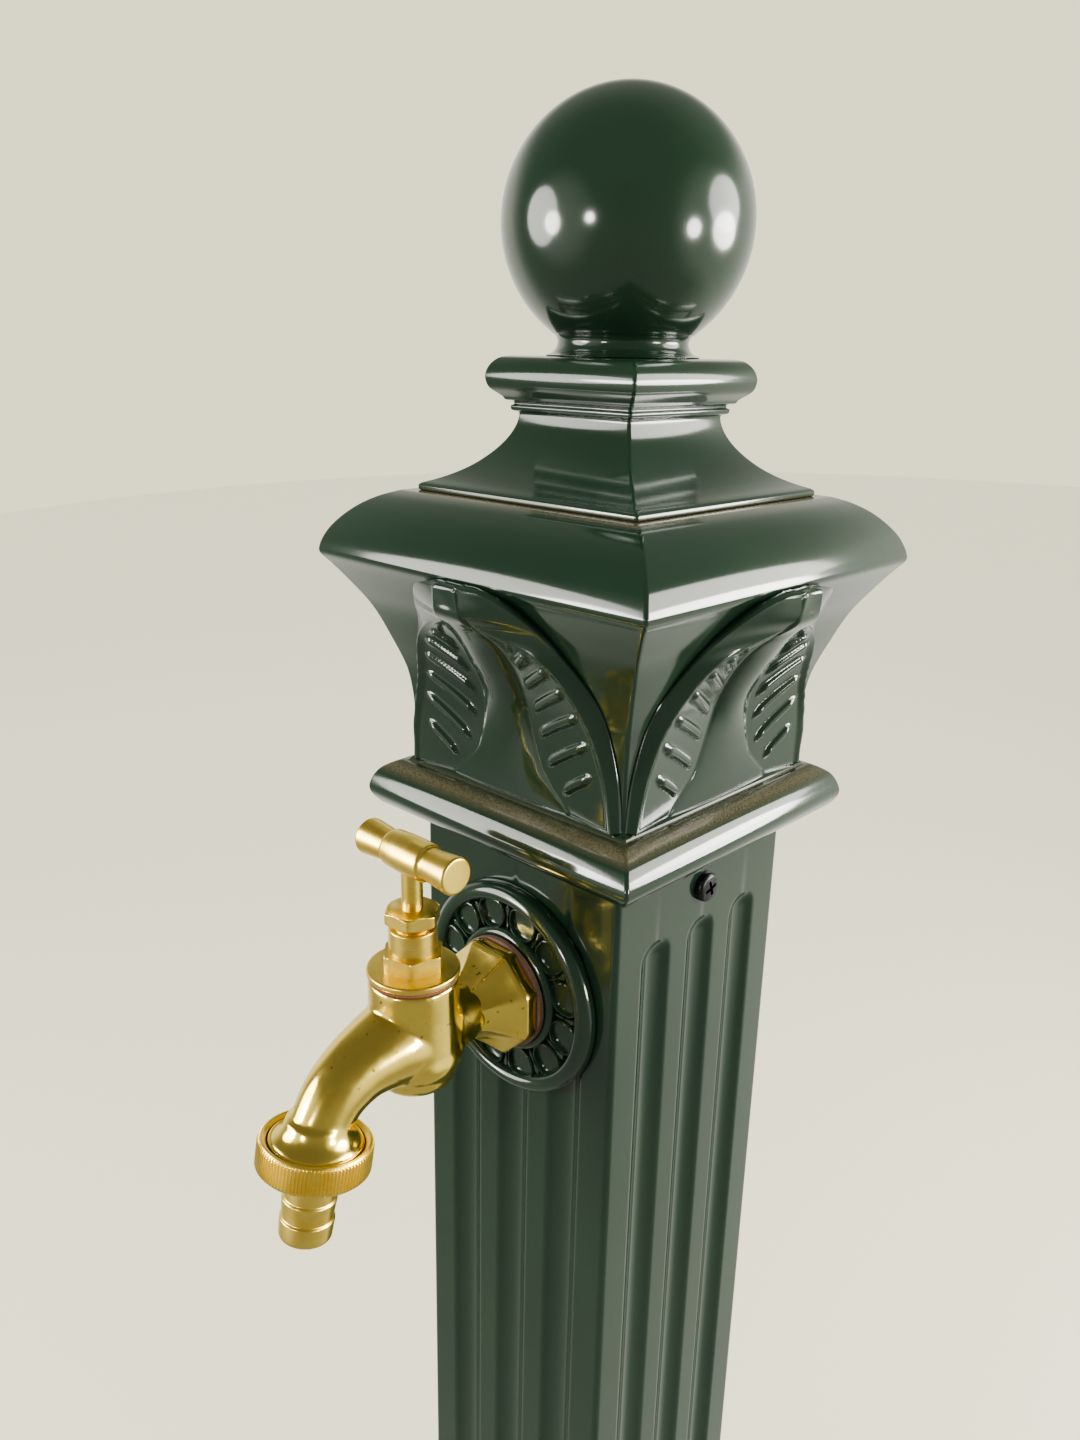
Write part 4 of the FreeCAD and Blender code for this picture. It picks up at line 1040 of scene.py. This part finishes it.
def union_nut():
    """Ring nut: plain bevels top and bottom, straight knurling between."""
    outer, high, bore, lip, inner = 15.65, 8.7, 13.2, 2.5, 7.9
    ridge = 0.42
    outline = [
        (inner, -high, 0), (outer - 1.0, -high, 0), (outer - ridge, 0.8 - high, 0),
        (outer - ridge, -0.8, 0), (outer - 0.9, 0, 0), (bore + 0.9, 0, 0), (bore, -0.9, 0),
        (bore, lip - high, 0), (inner, lip - high, 0), (inner, -high, 0),
    ]
    made = bmesh.new()
    add_turned(made, softened(outline, 0.12), 192, loop=True)
    ring = finish_mesh("ring_nut", made, STEM_BRASS, 50.0, outlet_place())
    stands_for(ring, "ring_nut", "turned_brass", "union_nut")
    count = 96
    half = math.pi / count * 0.78
    made = bmesh.new()
    rings = []
    for up, sunk in ((0.55 - high, 0.5), (0.95 - high, 0.05), (1.2 - high, 0.0), (-1.2, 0.0), (-0.95, 0.05),
                     (-0.5, 0.5)):
        base = outer - ridge - 0.3
        tip = outer - sunk
        rings.append([Vector((base * math.cos(-half), base * math.sin(-half), up)),
                      Vector((tip * math.cos(-half * 0.2), tip * math.sin(-half * 0.2), up)),
                      Vector((tip * math.cos(half * 0.2), tip * math.sin(half * 0.2), up)),
                      Vector((base * math.cos(half), base * math.sin(half), up))])
    add_rings(made, rings)
    knurl = repeated("nut_knurling", made, count, STEM_BRASS, outlet_place(), 40.0)
    return stands_for(knurl, "ring_nut", "turned_brass")


# ---------------------------------------------------------------- screws


def face_screws():
    """Pan heads with a cross recess, on two sides of the shaft and of its base."""
    outline = [(0, -6, 0), (2.5, -6, 0), (2.5, 0, 0), (4.3, 0, 0), (4.6, 0.3, 0.8), (4.6, 1.3, 0),
               (3.3, 2.6, 0.8), (0, 2.9, 0)]
    whole = bmesh.new()
    for side in (-1, 1):
        for reach, up in ((COLUMN_HALF, COLUMN_TOP - 9.4), (COLUMN_HALF + 7, BASE_TOP - 6.5)):
            made = bmesh.new()
            add_turned(made, softened(outline, 0.15), 48)
            head = finish_mesh("screw_head", made, BLACK, 50.0)
            cross = bmesh.new()
            for arms in ((0.55, 2.5), (2.5, 0.55)):
                size = Matrix.Diagonal((arms[0] * 2, arms[1] * 2, 4.0, 1))
                bmesh.ops.create_cube(cross, size=1.0, matrix=Matrix.Translation((0, 0, 3.3)) @ size)
            tool = finish_mesh("screw_cross", cross, BLACK, 30.0)
            applied(head, ("BOOLEAN", {"operation": "DIFFERENCE", "object": tool, "solver": "EXACT",
                                       "use_self": True}))
            bpy.data.objects.remove(tool)
            place = (Matrix.Translation((side * reach, 0, up)) @ Matrix.Rotation(side * math.pi / 2, 4, "Y")
                     @ Matrix.Rotation(math.radians(18 * side), 4, "Z"))
            head.data.transform(Matrix.Scale(MM, 4) @ place @ Matrix.Scale(1 / MM, 4))
            whole.from_mesh(head.data)
            bpy.data.objects.remove(head)
    bmesh.ops.scale(whole, vec=(1 / MM, 1 / MM, 1 / MM), verts=whole.verts)
    piece = finish_mesh("cross_screws", whole, BLACK, 35.0)
    return stands_for(piece, "fountain", "black_screw", "face_screws")


for build in (column, base_plinth, capital, capital_leaves, cap_pedestal, finial_ball, rosette, tap_casting,
              tap_flange, tap_mouth, bonnet, gland_nut, tee_handle, hose_tail, union_nut, face_screws):
    build()

# ---------------------------------------------------------------- stage, light and camera


def floor():
    """Pale disc with painted shade: its colour darkens near the object; most of it lies behind."""
    made = bmesh.new()
    bmesh.ops.create_circle(made, cap_ends=True, radius=4850.0, segments=128)
    stone = Finish("pale_floor_painted_shade").set(Roughness=0.9)
    # Painted shade: the floor's colour runs from darker near the object to pale further off.
    far = stone.spread(stone.distance(), 0.2, 2.6)
    stone.colour(stone.mix(far, (0.66, 0.64, 0.49), (0.87, 0.855, 0.66)))
    centre = Matrix.Translation((-1680.0, 3915.0, 0))
    ground = finish_mesh("pale_ground", made, stone.material, place=centre)
    ground.visible_glossy = False


def softbox(name, place, width, height, power):
    """A round or oval lamp turned to the capital; place and sizes in metres."""
    lamp = bpy.data.lights.new(name, "AREA")
    lamp.shape = "ELLIPSE"
    lamp.size = width
    lamp.size_y = height
    lamp.energy = power
    lamp.color = (1.0, 0.97, 0.92)
    item = bpy.data.objects.new(name, lamp)
    item.location = place
    item.rotation_euler = (Vector((0, 0, 0.9)) - Vector(place)).to_track_quat("-Z", "Y").to_euler()
    bpy.context.scene.collection.objects.link(item)


def room():
    """Pale paper behind the object and to its right; a dim room on the camera's side and above."""
    world = bpy.data.worlds.new("room")
    bpy.context.scene.world = world
    world.use_nodes = True
    tree = world.node_tree
    nodes, links = tree.nodes, tree.links
    back = nodes["Background"]
    place = nodes.new("ShaderNodeTexCoord").outputs["Generated"]
    split = nodes.new("ShaderNodeSeparateXYZ")
    links.new(place, split.inputs[0])
    height = split.outputs["Z"]

    def smooth(source, *span):
        return spread_node(tree, source, *span, step="SMOOTHSTEP")

    def toward(direction):
        node = nodes.new("ShaderNodeVectorMath")
        node.operation = "DOT_PRODUCT"
        node.inputs[1].default_value = direction
        links.new(place, node.inputs[0])
        return node.outputs["Value"]

    falloff = math_node(tree, "MULTIPLY", smooth(height, 0.15, 0.60, 1.0, 0.10),
                        smooth(height, -0.80, -0.15, 0.42, 1.0))
    paper = math_node(tree, "MULTIPLY", smooth(toward((-0.42, 0.91, 0.0)), 0.0, 0.55), falloff)
    level = math_node(tree, "ADD", paper, smooth(height, -1.0, 1.0, 0.36, 0.17))
    for azimuth, size, glow in ((28.0, 0.80, 0.95), (-112.0, 0.84, 0.75)):
        angle = math.radians(azimuth)
        side = toward((math.cos(angle), math.sin(angle), 0.0))
        level = math_node(tree, "ADD", level, smooth(side, size - 0.06, 1.0, 0.0, glow))
    mirrored = mix_node(tree, level, (0.0, 0.0, 0.0), (1.0, 0.985, 0.88))
    seen = nodes.new("ShaderNodeLightPath").outputs["Is Camera Ray"]
    links.new(mix_node(tree, seen, mirrored, (1.19, 1.165, 0.82)), back.inputs["Color"])
    back.inputs["Strength"].default_value = 1.0


def lights():
    softbox("left_near", (0.19, -1.49, 0.97), 0.20, 0.20, 4)
    softbox("left_far", (-0.72, -1.32, 0.92), 0.42, 0.40, 9)
    softbox("left_panel", (-1.05, -1.22, 1.05), 1.0, 1.05, 19)
    softbox("right_near", (1.46, 0.25, 0.84), 0.34, 0.34, 9)
    softbox("right_far", (1.12, 1.10, 0.90), 0.80, 0.56, 25)
    softbox("right_panel", (1.15, 1.12, 1.30), 1.15, 0.90, 19)
    sky = bpy.data.lights.new("room_light", "SUN")
    sky.energy = 3.25
    sky.angle = math.radians(70)
    sky.color = (1.0, 0.98, 0.93)
    item = bpy.data.objects.new("room_light", sky)
    item.rotation_euler = Vector((0.25, -0.35, 1)).to_track_quat("Z", "Y").to_euler()
    item.visible_glossy = False
    bpy.context.scene.collection.objects.link(item)


def camera():
    """Looking down on the tap and the capital from in front of the column's corner."""
    lens = bpy.data.cameras.new("camera")
    lens.sensor_fit = "VERTICAL"
    lens.sensor_height = 36.0
    lens.sensor_width = 27.0
    lens.lens = 28.269
    lens.clip_start = 0.01
    azimuth, elevation, roll = (math.radians(angle) for angle in (43.614, 18.399, 1.114))
    back = Vector((math.sin(azimuth) * math.cos(elevation), -math.cos(azimuth) * math.cos(elevation),
                   math.sin(elevation)))
    right = Vector((math.cos(azimuth), math.sin(azimuth), 0))
    up = back.cross(right)
    across = math.cos(roll) * right + math.sin(roll) * up
    upward = math.cos(roll) * up - math.sin(roll) * right
    item = bpy.data.objects.new("camera", lens)
    turn = Matrix((across, upward, back)).transposed().to_4x4()
    item.matrix_world = Matrix.Translation((0.215307, -0.256704, 0.934201)) @ turn
    bpy.context.scene.collection.objects.link(item)
    bpy.context.scene.camera = item
    bpy.context.scene.view_settings.look = "AgX - Medium High Contrast"


floor()
room()
lights()
camera()
